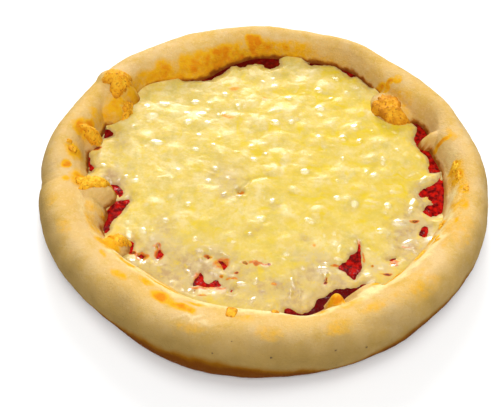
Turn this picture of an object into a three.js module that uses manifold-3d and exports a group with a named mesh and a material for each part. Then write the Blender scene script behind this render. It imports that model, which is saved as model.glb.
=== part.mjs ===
// A margherita pizza, whole and uncut: a dough base with a thick puffy rim, a layer of tomato sauce, a
// blanket of melted cheese with gaps where the sauce shows, and scraps of cheese baked onto the rim.
//
// Millimetres, +Z up. The origin is the middle of the flat underside, and -Y is the near side. Angles are in
// degrees, anticlockwise from +X as seen from above.
//
// The dough is one body: a section swept round the rim, with bubbles and crumbs fused to it. The sauce
// lies on the dough, the cheese on the sauce, and each scrap on the rim, with GAP left between any two.

import * as THREE from "three";
import { mergeVertices } from "three/addons/utils/BufferGeometryUtils.js";
import Module from "manifold-3d";

const wasm = await Module();
wasm.setup();

// ---------- Driving dimensions ----------

const DIAMETER = 280;
const RIM_WIDTH = 30; // from the outermost point in to the foot of the inner wall
const RIM_HEIGHT = 25;
const BASE_THICKNESS = 4.5; // of the dough under the sauce
const SAUCE_THICKNESS = 1.5;
const CHEESE_THICKNESS = 2.6; // between the lumps
const GAP = 0.35; // left between pieces that touch

// The rim's section, from the edge of the flat underside, round the outside and over the crest, to the
// foot of the inner wall. Each pair is [share of the rim's width in from the outside, share of its height].
const SECTION = [
  [0.6, 0],
  [0.36, 0.03],
  [0.15, 0.115],
  [0.035, 0.26],
  [0, 0.43],
  [0.045, 0.64],
  [0.17, 0.86],
  [0.36, 0.985],
  [0.55, 0.985],
  [0.74, 0.87],
  [0.88, 0.65],
  [0.97, 0.4],
  [1.04, 0.25],
];

// Swellings and dips round the rim. Each is [angle of its middle, spread in degrees, millimetres].
const OUTWARD = [
  [256, 18, 2.4],
  [232, 14, -2.4],
  [318, 12, -1],
  [52, 30, -2.6],
  [157, 14, -2.4],
  [187, 3, -1.6],
];
const UPWARD = [
  [262, 38, 3],
  [85, 48, -2.4],
  [187, 4, -1.8],
  [155, 8, -2.2],
  [16, 7, -1.4],
  [52, 5, -1.6],
  [222, 8, -1.2],
  [305, 12, 1],
];
const INWARD = [
  [262, 46, 11],
  [283, 7, -5],
  [117, 10, 9],
  [137, 6, -4],
  [88, 14, -5],
  [62, 14, -8],
  [26, 5, -6],
  [4, 8, -2],
  [155, 8, -6],
  [172, 8, -5],
  [352, 14, -4],
];

// Bubbles of dough fused to the rim: where they stand, the height that their domes rise from, and their
// half sizes.
const BUBBLES = [
  { at: 146, out: 123, up: 17, half: { radial: 13, along: 11, up: 11 } },
  { at: 152, out: 117, up: 11, half: { radial: 12, along: 12, up: 8 } },
  { at: 168, out: 120, up: 14, half: { radial: 9.5, along: 6.5, up: 7.5 } },
  { at: 190, out: 108, up: 11, half: { radial: 15, along: 9, up: 9.5 } },
  { at: 197, out: 103, up: 8, half: { radial: 10, along: 9, up: 8 } },
  { at: 215, out: 106, up: 9, half: { radial: 11, along: 8, up: 7 } },
  { at: 37, out: 109, up: 7, half: { radial: 15, along: 17, up: 8 } },
  { at: 12, out: 116, up: 11, half: { radial: 8, along: 6, up: 7 } },
  { at: 292.5, out: 106, up: 15, half: { radial: 6, along: 5.5, up: 7 } },
];

const BUBBLE_ROOT = 4; // the height that a bubble reaches down to, inside the dough

// Crumbs and single shreds of cheese baked onto the rim, fused to it. The share says where round the section
// one lies: 0.5 is about the crest, and 1 the foot of the inner wall.
const CRUMBS = [
  { at: 262, share: 0.74, long: 5, wide: 2.6 },
  { at: 183, share: 0.69, long: 3.6, wide: 3.4 },
  { at: 177, share: 0.75, long: 5, wide: 3 },
  { at: 95, share: 0.72, long: 5.5, wide: 4 },
  { at: 43, share: 0.78, long: 7, wide: 2.4 },
  { at: 129, share: 0.78, long: 6, wide: 3.4 },
  { at: 359, share: 0.73, long: 5, wide: 4 },
  { at: 337, share: 0.8, long: 4, wide: 3 },
  { at: 274, share: 0.8, long: 4, wide: 2.4 },
];
const CRUMB_RISE = 1.5; // how far a crumb stands up from the rim

// Scraps of cheese baked onto the rim, each a piece of its own. A scrap is dropped onto the dough along a
// line that leans in towards the middle of the pizza by the stated angle.
const SCRAPS = {
  scrap_back_left: { at: 146, out: 124, lean: 12, long: 9, wide: 9.5, turn: 10, thick: 2.4 },
  scrap_left_wall: { at: 150.5, out: 112, lean: 40, long: 8.5, wide: 7, turn: 0, thick: 1.8 },
  scrap_left_upper: { at: 168, out: 119.5, lean: 20, long: 5, wide: 7.5, turn: 0, thick: 2.2 },
  scrap_left: { at: 190, out: 108, lean: 8, long: 6.5, wide: 10.5, turn: 5, thick: 2.4 },
  scrap_front_left: { at: 214.5, out: 103.5, lean: 25, long: 5.5, wide: 7.5, turn: 0, thick: 2 },
  scrap_back_right: { at: 37, out: 105, lean: 15, long: 12, wide: 8.5, turn: 0, thick: 2.8 },
};

const SCRAP_EDGE = 0.4; // how thick a scrap is at its edge
const SCRAP_SUNK = 0.6; // how far it is let into the dough before it is cut to fit

// Where the edge of the cheese draws back from the rim's wall and shows sauce, as the swellings above.
const EDGE_DIPS = [
  [17, 9, 8],
  [0, 6, 9],
  [350, 7, 13],
  [322, 4, 4],
  [297, 11, 12],
  [281, 5, 5],
  [195, 9, 25],
  [219, 5, 8],
  [168, 11, 12],
  [88, 4, 9],
  [103, 10, 8],
  [62, 12, 4],
  [40, 8, 13],
];

// Gaps inside the cheese: the middle in x and y, half the length and width, and the turn of the length.
const CHEESE_GAPS = [
  { x: 52.5, y: -66, long: 11, wide: 5, turn: 70 },
  { x: -30.5, y: -83, long: 9, wide: 3.2, turn: -6 },
  { x: -37.5, y: -79.5, long: 4.5, wide: 2.2, turn: 80 },
  { x: -22.5, y: -69.5, long: 4.2, wide: 2.3, turn: -52 },
  { x: -70, y: -65.5, long: 3, wide: 1.8, turn: -20 },
  { x: -59.5, y: -64, long: 3.6, wide: 1.7, turn: 60 },
  { x: 95.5, y: -39.5, long: 3.6, wide: 2.6, turn: 75 },
];

// The cheese's lumps stand on a sunflower spiral, shifted and sized by seeded draws.
const LUMPS = 110;
const LUMP_RADIUS = [6.5, 10.5];
const LUMP_RISE = [0.9, 2.2];
const CHEESE_EDGE_THICKNESS = 0.9;
const EDGE_RAMP = 8; // how far in from an edge the cheese has its full thickness

// How finely each surface is divided.
const AROUND = 90;
const SECTION_STEPS = 13;
const BUBBLE_STEPS = 3; // from a bubble's side to its top
const CHEESE_RINGS = 20;
const SAUCE_RINGS = 10;
const SCRAP_RINGS = 3;

// ---------- Small helpers ----------

const { degToRad, euclideanModulo, lerp, smoothstep } = THREE.MathUtils;

const polar = (angle, radius, z) =>
  new THREE.Vector3(radius * Math.cos(degToRad(angle)), radius * Math.sin(degToRad(angle)), z);

// A seeded draw from 0 to 1, the same on every run.
function seeded(seed) {
  let state = seed;
  return () => {
    state = (state * 1664525 + 1013904223) % 4294967296;
    return state / 4294967296;
  };
}

// The sum of the swellings in a list at one angle.
function swell(list, angle) {
  return list.reduce((sum, [at, spread, amount]) => {
    const off = euclideanModulo(angle - at + 180, 360) - 180;
    return sum + amount * Math.exp(-((off / spread) ** 2));
  }, 0);
}

// Closes rings of points, which may differ in number, into one skin that faces out. The rings run from the
// middle of the underside out, up and in to the middle of the top, and a ring of one point closes an end.
function skin(rings) {
  const index = [];
  let start = 0;
  rings.slice(0, -1).forEach((ring, k) => {
    const near = ring.length;
    const far = rings[k + 1].length;
    const nearSteps = near > 1 ? near : 0;
    const farSteps = far > 1 ? far : 0;
    const next = start + near;
    let i = 0;
    let j = 0;
    while (i < nearSteps || j < farSteps) {
      const nearTurn = j === farSteps || (i < nearSteps && (i + 1) * farSteps <= (j + 1) * nearSteps);
      if (nearTurn) {
        index.push(start + i, start + ((i + 1) % near), next + (j % far));
        i += 1;
      } else {
        index.push(start + (i % near), next + ((j + 1) % far), next + j);
        j += 1;
      }
    }
    start = next;
  });
  return new THREE.BufferGeometry().setFromPoints(rings.flat()).setIndex(index);
}

// A closed geometry as a solid that can be joined and cut.
function solidOf(geometry) {
  const bare = geometry.clone();
  bare.deleteAttribute("normal");
  bare.deleteAttribute("uv");
  const merged = mergeVertices(bare);
  return new wasm.Manifold(
    new wasm.Mesh({
      numProp: 3,
      vertProperties: merged.attributes.position.array,
      triVerts: new Uint32Array(merged.index.array),
    }),
  );
}

// The largest body of a solid, without the slivers that a cut leaves behind.
function mainBody(solid) {
  return solid.decompose().reduce((main, body) => (body.volume() > main.volume() ? body : main));
}

function geometryOf(solid) {
  const mesh = solid.getMesh();
  const geometry = new THREE.BufferGeometry();
  geometry.setAttribute("position", new THREE.BufferAttribute(mesh.vertProperties, 3));
  geometry.setIndex(new THREE.BufferAttribute(mesh.triVerts, 1));
  geometry.computeVertexNormals();
  return geometry;
}

// A level disc's rings, from the middle out: ring k has 6k points, which makes all triangles alike in size.
function discRings(count, place) {
  const rings = [];
  for (let k = 0; k <= count; k++) {
    const points = Math.max(1, 6 * k);
    rings.push(Array.from({ length: points }, (_, i) => place(k / count, (360 * i) / points)));
  }
  return rings;
}

// ---------- Dough ----------

const section = new THREE.SplineCurve(SECTION.map(([across, up]) => new THREE.Vector2(across, up)));

const outerRadius = (angle) => DIAMETER / 2 + swell(OUTWARD, angle);
const rimWidth = (angle) => RIM_WIDTH + swell(INWARD, angle);
const wallFoot = (angle) => outerRadius(angle) - rimWidth(angle);

// Hand-stretched dough is never even: slow ripples along the rim.
const ripple = (angle) => 0.5 * Math.sin(degToRad(7 * angle + 40)) + 0.35 * Math.sin(degToRad(13 * angle));

function rimPoint(angle, share) {
  const { x: across, y: up } = section.getPoint(share);
  const height = RIM_HEIGHT + swell(UPWARD, angle) + ripple(angle);
  return polar(angle, outerRadius(angle) - across * rimWidth(angle), up * height);
}

// The direction that faces out of the rim at a point of its skin.
function rimNormal(angle, share) {
  const step = 0.01;
  const low = Math.min(share, 1 - step);
  const along = rimPoint(angle + 1, share).sub(rimPoint(angle - 1, share));
  const over = rimPoint(angle, low + step).sub(rimPoint(angle, low));
  return along.cross(over).normalize();
}

// A bubble is a dome on upright sides that are rooted in the dough below.
function bubbleGeometry({ at, out, up, half }, grow) {
  const quarter = new THREE.Path().absarc(0, 0, 1, 0, Math.PI / 2, false).getPoints(BUBBLE_STEPS);
  const root = (BUBBLE_ROOT - up) / (half.up + grow);
  const profile = [new THREE.Vector2(0, root), new THREE.Vector2(1, root), ...quarter];
  const geometry = new THREE.LatheGeometry(profile, 4 * BUBBLE_STEPS);
  geometry.rotateX(Math.PI / 2);
  geometry.scale(half.radial + grow, half.along + grow, half.up + grow);
  geometry.rotateZ(degToRad(at));
  const { x, y, z } = polar(at, out, up);
  return geometry.translate(x, y, z);
}

// A crumb is a low dome with its long way running up and over the rim.
function crumbGeometry({ at, share, long, wide }) {
  const middle = rimPoint(at, share);
  const normal = rimNormal(at, share);
  const along = polar(at + 90, 1, 0);
  const over = new THREE.Vector3().crossVectors(along, normal);
  const place = new THREE.Matrix4().makeBasis(over, along, normal).setPosition(middle);
  const geometry = new THREE.SphereGeometry(1, 7, 4);
  geometry.rotateX(Math.PI / 2);
  geometry.scale(long, wide, CRUMB_RISE);
  return geometry.applyMatrix4(place);
}

// The dough's solid. Grown by a little, it is the space that the other pieces keep out of.
function doughSolid(grow = 0) {
  const rings = [[new THREE.Vector3(0, 0, -grow)]];
  for (let k = 0; k <= SECTION_STEPS; k++) {
    const share = k / SECTION_STEPS;
    const ring = Array.from({ length: AROUND }, (_, i) => {
      const angle = (360 * i) / AROUND;
      const point = rimPoint(angle, share).addScaledVector(rimNormal(angle, share), grow);
      return k === 0 ? point.setZ(-grow) : point;
    });
    rings.push(ring);
  }
  const fillet = 5;
  const floor = BASE_THICKNESS + grow;
  rings.push(
    Array.from({ length: AROUND / 2 }, (_, i) => {
      const angle = (720 * i) / AROUND;
      return polar(angle, wallFoot(angle) - fillet, floor);
    }),
  );
  rings.push([new THREE.Vector3(0, 0, floor)]);
  return BUBBLES.reduce(
    (dough, bubble) => dough.add(solidOf(bubbleGeometry(bubble, grow))),
    solidOf(skin(rings)),
  );
}

// ---------- Sauce ----------

const SAUCE_FLOOR = BASE_THICKNESS + GAP;

function sauceTop(x, y) {
  const wave = 0.2 * Math.sin(x / 9 + 1.3) * Math.cos(y / 8) + 0.2 * Math.sin((x + 2 * y) / 15);
  return SAUCE_FLOOR + SAUCE_THICKNESS + wave;
}

function sauceSolid(keepOut) {
  const reach = 4; // past the wall's foot, where the dough cuts it to fit
  const top = discRings(SAUCE_RINGS, (share, angle) => {
    const point = polar(angle, share * (wallFoot(angle) + reach), 0);
    return point.setZ(sauceTop(point.x, point.y));
  });
  const edge = top[SAUCE_RINGS].map((point) => point.clone().setZ(SAUCE_FLOOR));
  const middle = [new THREE.Vector3(0, 0, SAUCE_FLOOR)];
  return solidOf(skin([middle, edge, ...top.reverse()])).subtract(keepOut);
}

// ---------- Cheese ----------

const draw = seeded(7);
const lumps = Array.from({ length: LUMPS }, (_, k) => {
  const spiral = polar(k * 137.5, 112 * Math.sqrt((k + 0.5) / LUMPS), 0);
  return {
    x: spiral.x + lerp(-4, 4, draw()),
    y: spiral.y + lerp(-4, 4, draw()),
    radius: lerp(...LUMP_RADIUS, draw()),
    rise: lerp(...LUMP_RISE, draw()),
  };
});

// How far the lumps stand up at a point: the highest dome there.
function lumpRise(x, y) {
  return lumps.reduce((highest, lump) => {
    const off = Math.hypot(x - lump.x, y - lump.y) / lump.radius;
    return off < 1 ? Math.max(highest, lump.rise * (1 - off * off)) : highest;
  }, 0);
}

// A gap's edge: a wavy ellipse, at a share of its full size.
function gapOutline({ x, y, long, wide, turn }, count) {
  return Array.from({ length: count }, (_, i) => {
    const t = (2 * Math.PI * i) / count;
    const wavy = 1 + 0.16 * Math.sin(3 * t + x) + 0.1 * Math.sin(5 * t + y);
    const point = new THREE.Vector2(long * wavy * Math.cos(t), wide * wavy * Math.sin(t));
    return point.rotateAround(new THREE.Vector2(), degToRad(turn)).add(new THREE.Vector2(x, y));
  });
}

// About how far a point is from the edge of a gap.
function gapDistance({ x: gx, y: gy, long, wide, turn }, x, y) {
  const local = new THREE.Vector2(x - gx, y - gy).rotateAround(new THREE.Vector2(), degToRad(-turn));
  return (Math.hypot(local.x / long, local.y / wide) - 1) * wide;
}

function cheeseEdge(angle) {
  const ragged = 0.9 * Math.sin(degToRad(17 * angle)) + 0.7 * Math.sin(degToRad(29 * angle + 60));
  return wallFoot(angle) + 1.5 - swell(EDGE_DIPS, angle) + ragged;
}

function cheeseThickness(x, y, fromEdge) {
  const nearest = CHEESE_GAPS.reduce((least, gap) => Math.min(least, gapDistance(gap, x, y)), fromEdge);
  const full = CHEESE_THICKNESS + lumpRise(x, y);
  return lerp(CHEESE_EDGE_THICKNESS, full, smoothstep(nearest, 0, EDGE_RAMP));
}

function cheeseSolid(keepOut) {
  const under = (x, y) => sauceTop(x, y) + GAP;
  const top = discRings(CHEESE_RINGS, (share, angle) => {
    const edge = cheeseEdge(angle);
    const point = polar(angle, share * edge, 0);
    const thickness = cheeseThickness(point.x, point.y, (1 - share) * edge);
    return point.setZ(under(point.x, point.y) + thickness);
  });
  const bottom = discRings(SAUCE_RINGS, (share, angle) => {
    const point = polar(angle, share * cheeseEdge(angle), 0);
    return point.setZ(under(point.x, point.y));
  });
  const foot = top[CHEESE_RINGS].map((point) => point.clone().setZ(under(point.x, point.y)));
  const blanket = solidOf(skin([...bottom.slice(0, -1), foot, ...top.reverse()]));
  return CHEESE_GAPS.reduce((cheese, gap) => {
    const hole = new THREE.ExtrudeGeometry(new THREE.Shape(gapOutline(gap, 16)), {
      depth: RIM_HEIGHT,
      bevelEnabled: false,
    });
    return cheese.subtract(solidOf(hole));
  }, blanket.subtract(keepOut));
}

// ---------- Scraps of cheese on the rim ----------

// A scrap is dropped onto the dough and sunk into it a little: the dough's shape is cut out of it afterwards.
// Grown by a little, it is the space that the sauce and the cheese keep out of.
function scrapSolid(doughMesh, { at, out, lean, long, wide, turn, thick }, grow = 0) {
  const normal = polar(at + 180, Math.sin(degToRad(lean)), Math.cos(degToRad(lean)));
  const along = polar(at + 90, 1, 0);
  const over = new THREE.Vector3().crossVectors(normal, along);
  const middle = polar(at, out, RIM_HEIGHT / 2);
  const caster = new THREE.Raycaster();
  const down = normal.clone().negate();

  // The point of the scrap that lies a height above the dough, at a share of the way to its edge.
  function lie(share, angle, height) {
    const t = degToRad(angle);
    const wavy = 1 + 0.14 * Math.sin(3 * t + at) + 0.1 * Math.sin(5 * t + out);
    const flat = new THREE.Vector2((long + grow) * Math.cos(t), (wide + grow) * Math.sin(t));
    flat.multiplyScalar(share * wavy);
    flat.rotateAround(new THREE.Vector2(), degToRad(turn));
    const start = middle.clone().addScaledVector(along, flat.x).addScaledVector(over, flat.y);
    start.addScaledVector(normal, 2 * RIM_HEIGHT);
    caster.set(start, down);
    const [hit] = caster.intersectObject(doughMesh);
    return hit.point.addScaledVector(normal, height);
  }
  const lumpy = (share, angle) => 0.85 + 0.15 * Math.cos(degToRad(4 * angle) + 9 * share);
  const domed = (share) => Math.sqrt(1 - 0.9 * share * share);
  const top = discRings(SCRAP_RINGS, (share, angle) =>
    lie(share, angle, GAP + SCRAP_EDGE + grow + thick * domed(share) * lumpy(share, angle)),
  );
  const bottom = discRings(SCRAP_RINGS, (share, angle) => lie(share, angle, -SCRAP_SUNK));
  return solidOf(skin([...bottom, ...top.reverse()]));
}

// ---------- The pizza ----------

const bakedDough = new THREE.MeshStandardMaterial({ color: 0xe6c892, roughness: 0.85, metalness: 0 });
const tomatoSauce = new THREE.MeshStandardMaterial({ color: 0xa81c12, roughness: 0.3, metalness: 0 });
const meltedCheese = new THREE.MeshStandardMaterial({ color: 0xefdf9c, roughness: 0.35, metalness: 0 });
const brownedCheese = new THREE.MeshStandardMaterial({ color: 0xd9982f, roughness: 0.5, metalness: 0 });

function piece(name, solid, material) {
  const mesh = new THREE.Mesh(geometryOf(mainBody(solid)), material);
  mesh.name = name;
  return mesh;
}

const bareDough = doughSolid();
const bareMesh = new THREE.Mesh(geometryOf(bareDough));
const crust = CRUMBS.reduce((dough, crumb) => dough.add(solidOf(crumbGeometry(crumb))), bareDough);

const doughSpace = doughSolid(GAP);
const rimSpace = Object.values(SCRAPS).reduce(
  (space, scrap) => space.add(scrapSolid(bareMesh, scrap, GAP)),
  doughSpace,
);

const pizza = new THREE.Group();
pizza.add(
  piece("crust", crust, bakedDough),
  piece("sauce", sauceSolid(rimSpace), tomatoSauce),
  piece("cheese", cheeseSolid(rimSpace), meltedCheese),
);
Object.entries(SCRAPS).forEach(([name, scrap]) => {
  pizza.add(piece(name, scrapSolid(bareMesh, scrap).subtract(doughSpace), brownedCheese));
});

// The origin is under the middle of the whole pizza's box.
const middle = new THREE.Box3().setFromObject(pizza).getCenter(new THREE.Vector3());
pizza.position.set(-middle.x, -middle.y, 0);

export default pizza;
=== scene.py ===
# %% [markdown]
# # A margherita pizza
#
# A whole pizza is three soft layers, one on the other: a disc of dough with a thick puffy rim, a thin spread of
# tomato sauce, and a blanket of melted cheese. A few scraps of cheese have landed on the rim and baked brown.
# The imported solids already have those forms, coarsely. Here every layer is made again from nearly the same
# sizes, with a much finer skin, so that the small lumps, creases and torn edges can be real shapes.

# %% Load the frame
import math

import bpy
import numpy as np
from mathutils import Matrix, Vector
from mathutils.bvhtree import BVHTree


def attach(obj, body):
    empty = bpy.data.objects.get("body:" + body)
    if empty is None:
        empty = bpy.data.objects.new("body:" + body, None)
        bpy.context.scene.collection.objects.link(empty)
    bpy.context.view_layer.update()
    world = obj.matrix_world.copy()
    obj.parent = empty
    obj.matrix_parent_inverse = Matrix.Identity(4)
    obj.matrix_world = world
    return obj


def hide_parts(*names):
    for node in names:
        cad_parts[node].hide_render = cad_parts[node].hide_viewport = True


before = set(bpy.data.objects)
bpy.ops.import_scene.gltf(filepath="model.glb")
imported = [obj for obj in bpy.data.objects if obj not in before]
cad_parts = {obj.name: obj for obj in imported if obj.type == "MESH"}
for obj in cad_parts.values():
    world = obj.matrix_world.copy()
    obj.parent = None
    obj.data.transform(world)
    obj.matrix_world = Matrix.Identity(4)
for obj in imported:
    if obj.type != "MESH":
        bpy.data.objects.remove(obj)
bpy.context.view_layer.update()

print("solids:", ", ".join(sorted(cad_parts)))

# %% [markdown]
# ## Sizes
#
# All sizes are in millimetres, with +Z up, and angles are in degrees, anticlockwise from +X as seen from above.
# The main ones are those of the solids, so that each fine layer lies where its solid does. Where a swelling, a
# bubble, a gap or a scrap is not quite where the solid has it, the cell that makes it says so.

# %% The sizes of the pizza
MM = 0.001
DIAMETER = 280
RIM_WIDTH = 30
RIM_HEIGHT = 25
BASE_THICKNESS = 4.5
SAUCE_THICKNESS = 1.5
CHEESE_THICKNESS = 2.6
GAP = 0.35  # between two layers
print("a pizza of", DIAMETER, "mm with a rim", RIM_WIDTH, "mm wide and", RIM_HEIGHT, "mm high")

# %% The rim's section
# Its points, [share of its width in from the outside, share of its height], run from under the edge, round the
# outside and over the crest, to the foot of the inner wall.
SECTION = [
    [0.6, 0],
    [0.36, 0.03],
    [0.15, 0.115],
    [0.035, 0.26],
    [0, 0.43],
    [0.045, 0.64],
    [0.17, 0.86],
    [0.36, 0.985],
    [0.55, 0.985],
    [0.74, 0.87],
    [0.88, 0.65],
    [0.97, 0.4],
    [1.04, 0.25],
]
print("the section has", len(SECTION), "points")

# %% The rim's swellings
# Swellings and dips round the rim: [angle of the middle, spread in degrees, millimetres].
OUTWARD = [
    [256, 18, 2.4],
    [232, 14, -2.4],
    [318, 12, -1],
    [52, 30, -2.6],
    [157, 14, -2.4],
    [187, 3, -1.6],
]
UPWARD = [
    [262, 38, 3],
    [85, 48, -2.4],
    [187, 4, -1.8],
    [155, 8, -2.2],
    [16, 7, -1.4],
    [52, 5, -1.6],
    [222, 8, -1.2],
    [305, 12, 1],
]
# From 4 to 34 and from 40 to 84 degrees the wall stands further out than the solid's, by up to 5 mm, so that the
# strip of sauce between the wall and the cheese stays open there.
INWARD = [
    [262, 46, 11],
    [283, 7, -5],
    [117, 10, 9],
    [137, 6, -4],
    [88, 14, -5],
    [62, 16, -11.5],
    [24, 7, -8.5],
    [7, 8, -3.5],
    [155, 8, -6],
    [172, 8, -5],
    [352, 14, -4],
]
print(len(OUTWARD), "swellings outward,", len(UPWARD), "upward and", len(INWARD), "inward")


# %% The rim's outline
def swell(humps, angle):
    """The sum of the swellings in a list, at each angle."""
    total = np.zeros_like(angle, dtype=float)
    for at, spread, amount in humps:
        off = (angle - at + 180) % 360 - 180
        total += amount * np.exp(-((off / spread) ** 2))
    return total


def outer_radius(angle):
    """How far the outside of the rim is from the middle."""
    return DIAMETER / 2 + swell(OUTWARD, angle)


def rim_width(angle):
    """How wide the rim is, from its outside to the foot of its inner wall."""
    return RIM_WIDTH + swell(INWARD, angle)


def wall_foot(angle):
    """How far the foot of the inner wall is from the middle."""
    return outer_radius(angle) - rim_width(angle)


def polar(angle, radius, z):
    """Points at an angle, a distance from the middle and a height."""
    turn = np.radians(angle)
    return np.stack(np.broadcast_arrays(radius * np.cos(turn), radius * np.sin(turn), z), axis=-1)


round_turn = np.arange(0, 360, 0.5)
print("the rim is", np.round([rim_width(round_turn).min(), rim_width(round_turn).max()], 1), "mm wide")

# %% [markdown]
# ## Soft noise
#
# Dough and cheese are uneven at every size, from slow swellings down to grain. One small function gives that
# unevenness: numbers drawn at the corners of a grid, with a smooth change from corner to corner. The draw comes
# from the corner's own place, so that the pizza is the same every time.

# %% Soft noise
def corner_draw(cell, seed):
    """A number from -1 to 1 for each corner of a grid."""
    x, y, z = cell[..., 0], cell[..., 1], cell[..., 2]
    mixed = (x * 374761393 + y * 668265263 + z * 1274126177 + seed * 974711) & 0xFFFFFFFF
    mixed = ((mixed ^ (mixed >> 13)) * 1103515245) & 0xFFFFFFFF
    return ((mixed ^ (mixed >> 16)) & 0xFFFF) / 32767.5 - 1


def cloud(points, size, seed=0):
    """Soft noise from -1 to 1 that changes over about that many millimetres."""
    place = points / size + 0.37 * seed
    cell = np.floor(place).astype(np.int64)
    part = place - cell
    ease = part * part * (3 - 2 * part)
    total = np.zeros(points.shape[:-1])
    for corner in np.ndindex(2, 2, 2):
        weight = np.prod(np.where(corner, ease, 1 - ease), axis=-1)
        total += weight * corner_draw(cell + np.array(corner), seed)
    return total


def clouds(points, size, seed=0, layers=3):
    """Noise in layers, each half as large and half as strong as the one before."""
    return sum(cloud(points, size / 2**k, seed + k) / 2**k for k in range(layers))


def drift(points, size, seeds):
    """Noise in as many directions as there are seeds, to push points about."""
    return np.stack([cloud(points, size, seed) for seed in seeds], axis=-1)


trial = cloud(np.arange(300).reshape(100, 3) * 1.3, 5)
print("noise over 100 points runs from", round(trial.min(), 2), "to", round(trial.max(), 2))

# %% Soft steps
def smoothstep(value, low, high):
    """0 below low and 1 above high, with a soft rise between."""
    part = np.clip((value - low) / (high - low), 0, 1)
    return part * part * (3 - 2 * part)


def soft_max(a, b, blend):
    """The larger of two heights, with the crease between them filled over a width."""
    share = np.clip(0.5 + 0.5 * (a - b) / blend, 0, 1)
    return b + (a - b) * share + blend * share * (1 - share)


print("two heights of 1 mm, softly joined over 1 mm, give", soft_max(1, 1, 1), "mm")

# %% [markdown]
# ## One skin for every layer
#
# Each layer is a closed skin that is laid over rings of points, from the middle of its underside, out round the
# edge and in again to the middle of its top. Rings may differ in how many points they hold: two neighbours are
# laced together with triangles, a step at a time on whichever ring is behind. That keeps the triangles alike in
# size from the middle of a disc to its edge.

# %% Rings into triangles
def lace(rings):
    """The triangles that join each ring to the next."""
    faces = []
    start = 0
    for ring, following in zip(rings, rings[1:]):
        near, far = len(ring), len(following)
        near_steps = near if near > 1 else 0
        far_steps = far if far > 1 else 0
        after = start + near
        i = j = 0
        while i < near_steps or j < far_steps:
            if j == far_steps or (i < near_steps and (i + 1) * far_steps <= (j + 1) * near_steps):
                faces.append((start + i, start + (i + 1) % near, after + j % far))
                i += 1
            else:
                faces.append((start + i % near, after + (j + 1) % far, after + j))
                j += 1
        start = after
    return faces


print("a ring of 6 laced to a ring of 12 gives", len(lace([range(6), range(12)])), "triangles")

# %% The skin of the rim
def rim_point(angle, share):
    """A point of the rim's skin, at an angle and a share of the way round its section."""
    knots = np.array(SECTION)
    last = len(knots) - 1
    place = np.clip(share, 0, 1) * last
    k = np.minimum(np.floor(place).astype(int), last - 1)
    t = np.asarray(place - k)[..., None]
    before, here, there, beyond = (knots[np.clip(k + step, 0, last)] for step in (-1, 0, 1, 2))
    leaving = (there - before) / 2
    arriving = (beyond - here) / 2
    point = (2 * (here - there) + leaving + arriving) * t**3
    point = point + (3 * (there - here) - 2 * leaving - arriving) * t**2 + leaving * t + here
    ripple = 0.5 * np.sin(np.radians(7 * angle + 40)) + 0.35 * np.sin(np.radians(13 * angle))
    height = RIM_HEIGHT + swell(UPWARD, angle) + ripple
    return polar(angle, outer_radius(angle) - point[..., 0] * rim_width(angle), point[..., 1] * height)


# The solids' origin is under the middle of the whole pizza, which is a little off the middle of the circle.
WIDEST_SHARES = (0.3, 0.33, 0.36)  # where the section stands furthest out
sides = np.concatenate([rim_point(round_turn, share) for share in WIDEST_SHARES])
middle = (sides.min(axis=0) + sides.max(axis=0)) / 2 * [1, 1, 0]
print("the circle's middle is off the origin by", np.round(-middle[:2], 2), "mm")


# %% From rings to a piece
def make_piece(name, rings, marks, replaced=()):
    """A smooth mesh from rings in millimetres, with a named value at each point for its finish."""
    points = (np.concatenate(rings) - middle) * MM
    mesh = bpy.data.meshes.new(name)
    mesh.from_pydata(points.tolist(), [], lace(rings))
    mesh.shade_smooth()
    for mark, values in marks.items():
        attribute = mesh.attributes.new(mark, "FLOAT", "POINT")
        attribute.data.foreach_set("value", np.asarray(values, dtype=np.float32))
    piece = bpy.data.objects.new(name, mesh)
    bpy.context.scene.collection.objects.link(piece)
    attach(piece, "root")
    if replaced:
        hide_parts(*replaced)
    print(name, len(mesh.polygons), "triangles")
    return piece


# %% [markdown]
# ## Dough
#
# The rim puffs up in the oven because its edge is left bare. It could be sculpted by hand, but a section that
# is swept round the pizza and swollen here and there gives the same puffs and stays easy to change. Bubbles and
# folds of dough stand on it as domes. A dome is blended into the rim with a soft maximum, which leaves the
# kind of shallow crease that risen dough has.

# %% The dough's bubbles
# Where a bubble stands, the height that its dome rises from, its half sizes (radial, along the rim and up), and
# how wide the crease round it is. Seven stand within about 3 mm of the solid's bubbles. The one at 198 degrees
# is 9 mm further out, the one at 17.5 degrees is 11 mm further round, and the one at 303.5 degrees isn't on the
# solid at all.
BUBBLES = [
    (146, 123, 17, (13, 11, 11), 2.2),
    (152, 117, 11, (12, 12, 8), 2.2),
    (168, 120, 14, (9.5, 6.5, 7.5), 2.2),
    (198, 112, 9, (10, 13, 9), 8),
    (191.6, 107.5, 10, (13, 11, 9.5), 2.2),
    (215, 108, 9, (10, 7.5, 7), 2.2),
    (37, 109, 7, (15, 17, 8), 2.2),
    (17.5, 117, 12, (7.5, 4, 5.5), 2),
    (293.4, 105.5, 12, (5.5, 4.4, 9), 0.7),
    (303.5, 110, 13, (8.5, 11, 8), 4),
]
print(len(BUBBLES), "bubbles, the highest at", max(up + rise for _, _, up, (_, _, rise), _ in BUBBLES), "mm")

# %% Domes on the rim
STEEPEST = 0.95  # the share of a dome's half width where its side stops getting steeper


def over_rim(points, at, out, along, across):
    """How far points are from a place on the rim, in half lengths along it and half widths across it."""
    off = points[..., :2] - polar(at, out, 0)[:2]
    turn = math.radians(at)
    outward = (off[..., 0] * math.cos(turn) + off[..., 1] * math.sin(turn)) / across
    sideways = (off[..., 1] * math.cos(turn) - off[..., 0] * math.sin(turn)) / along
    return outward, sideways


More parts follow.
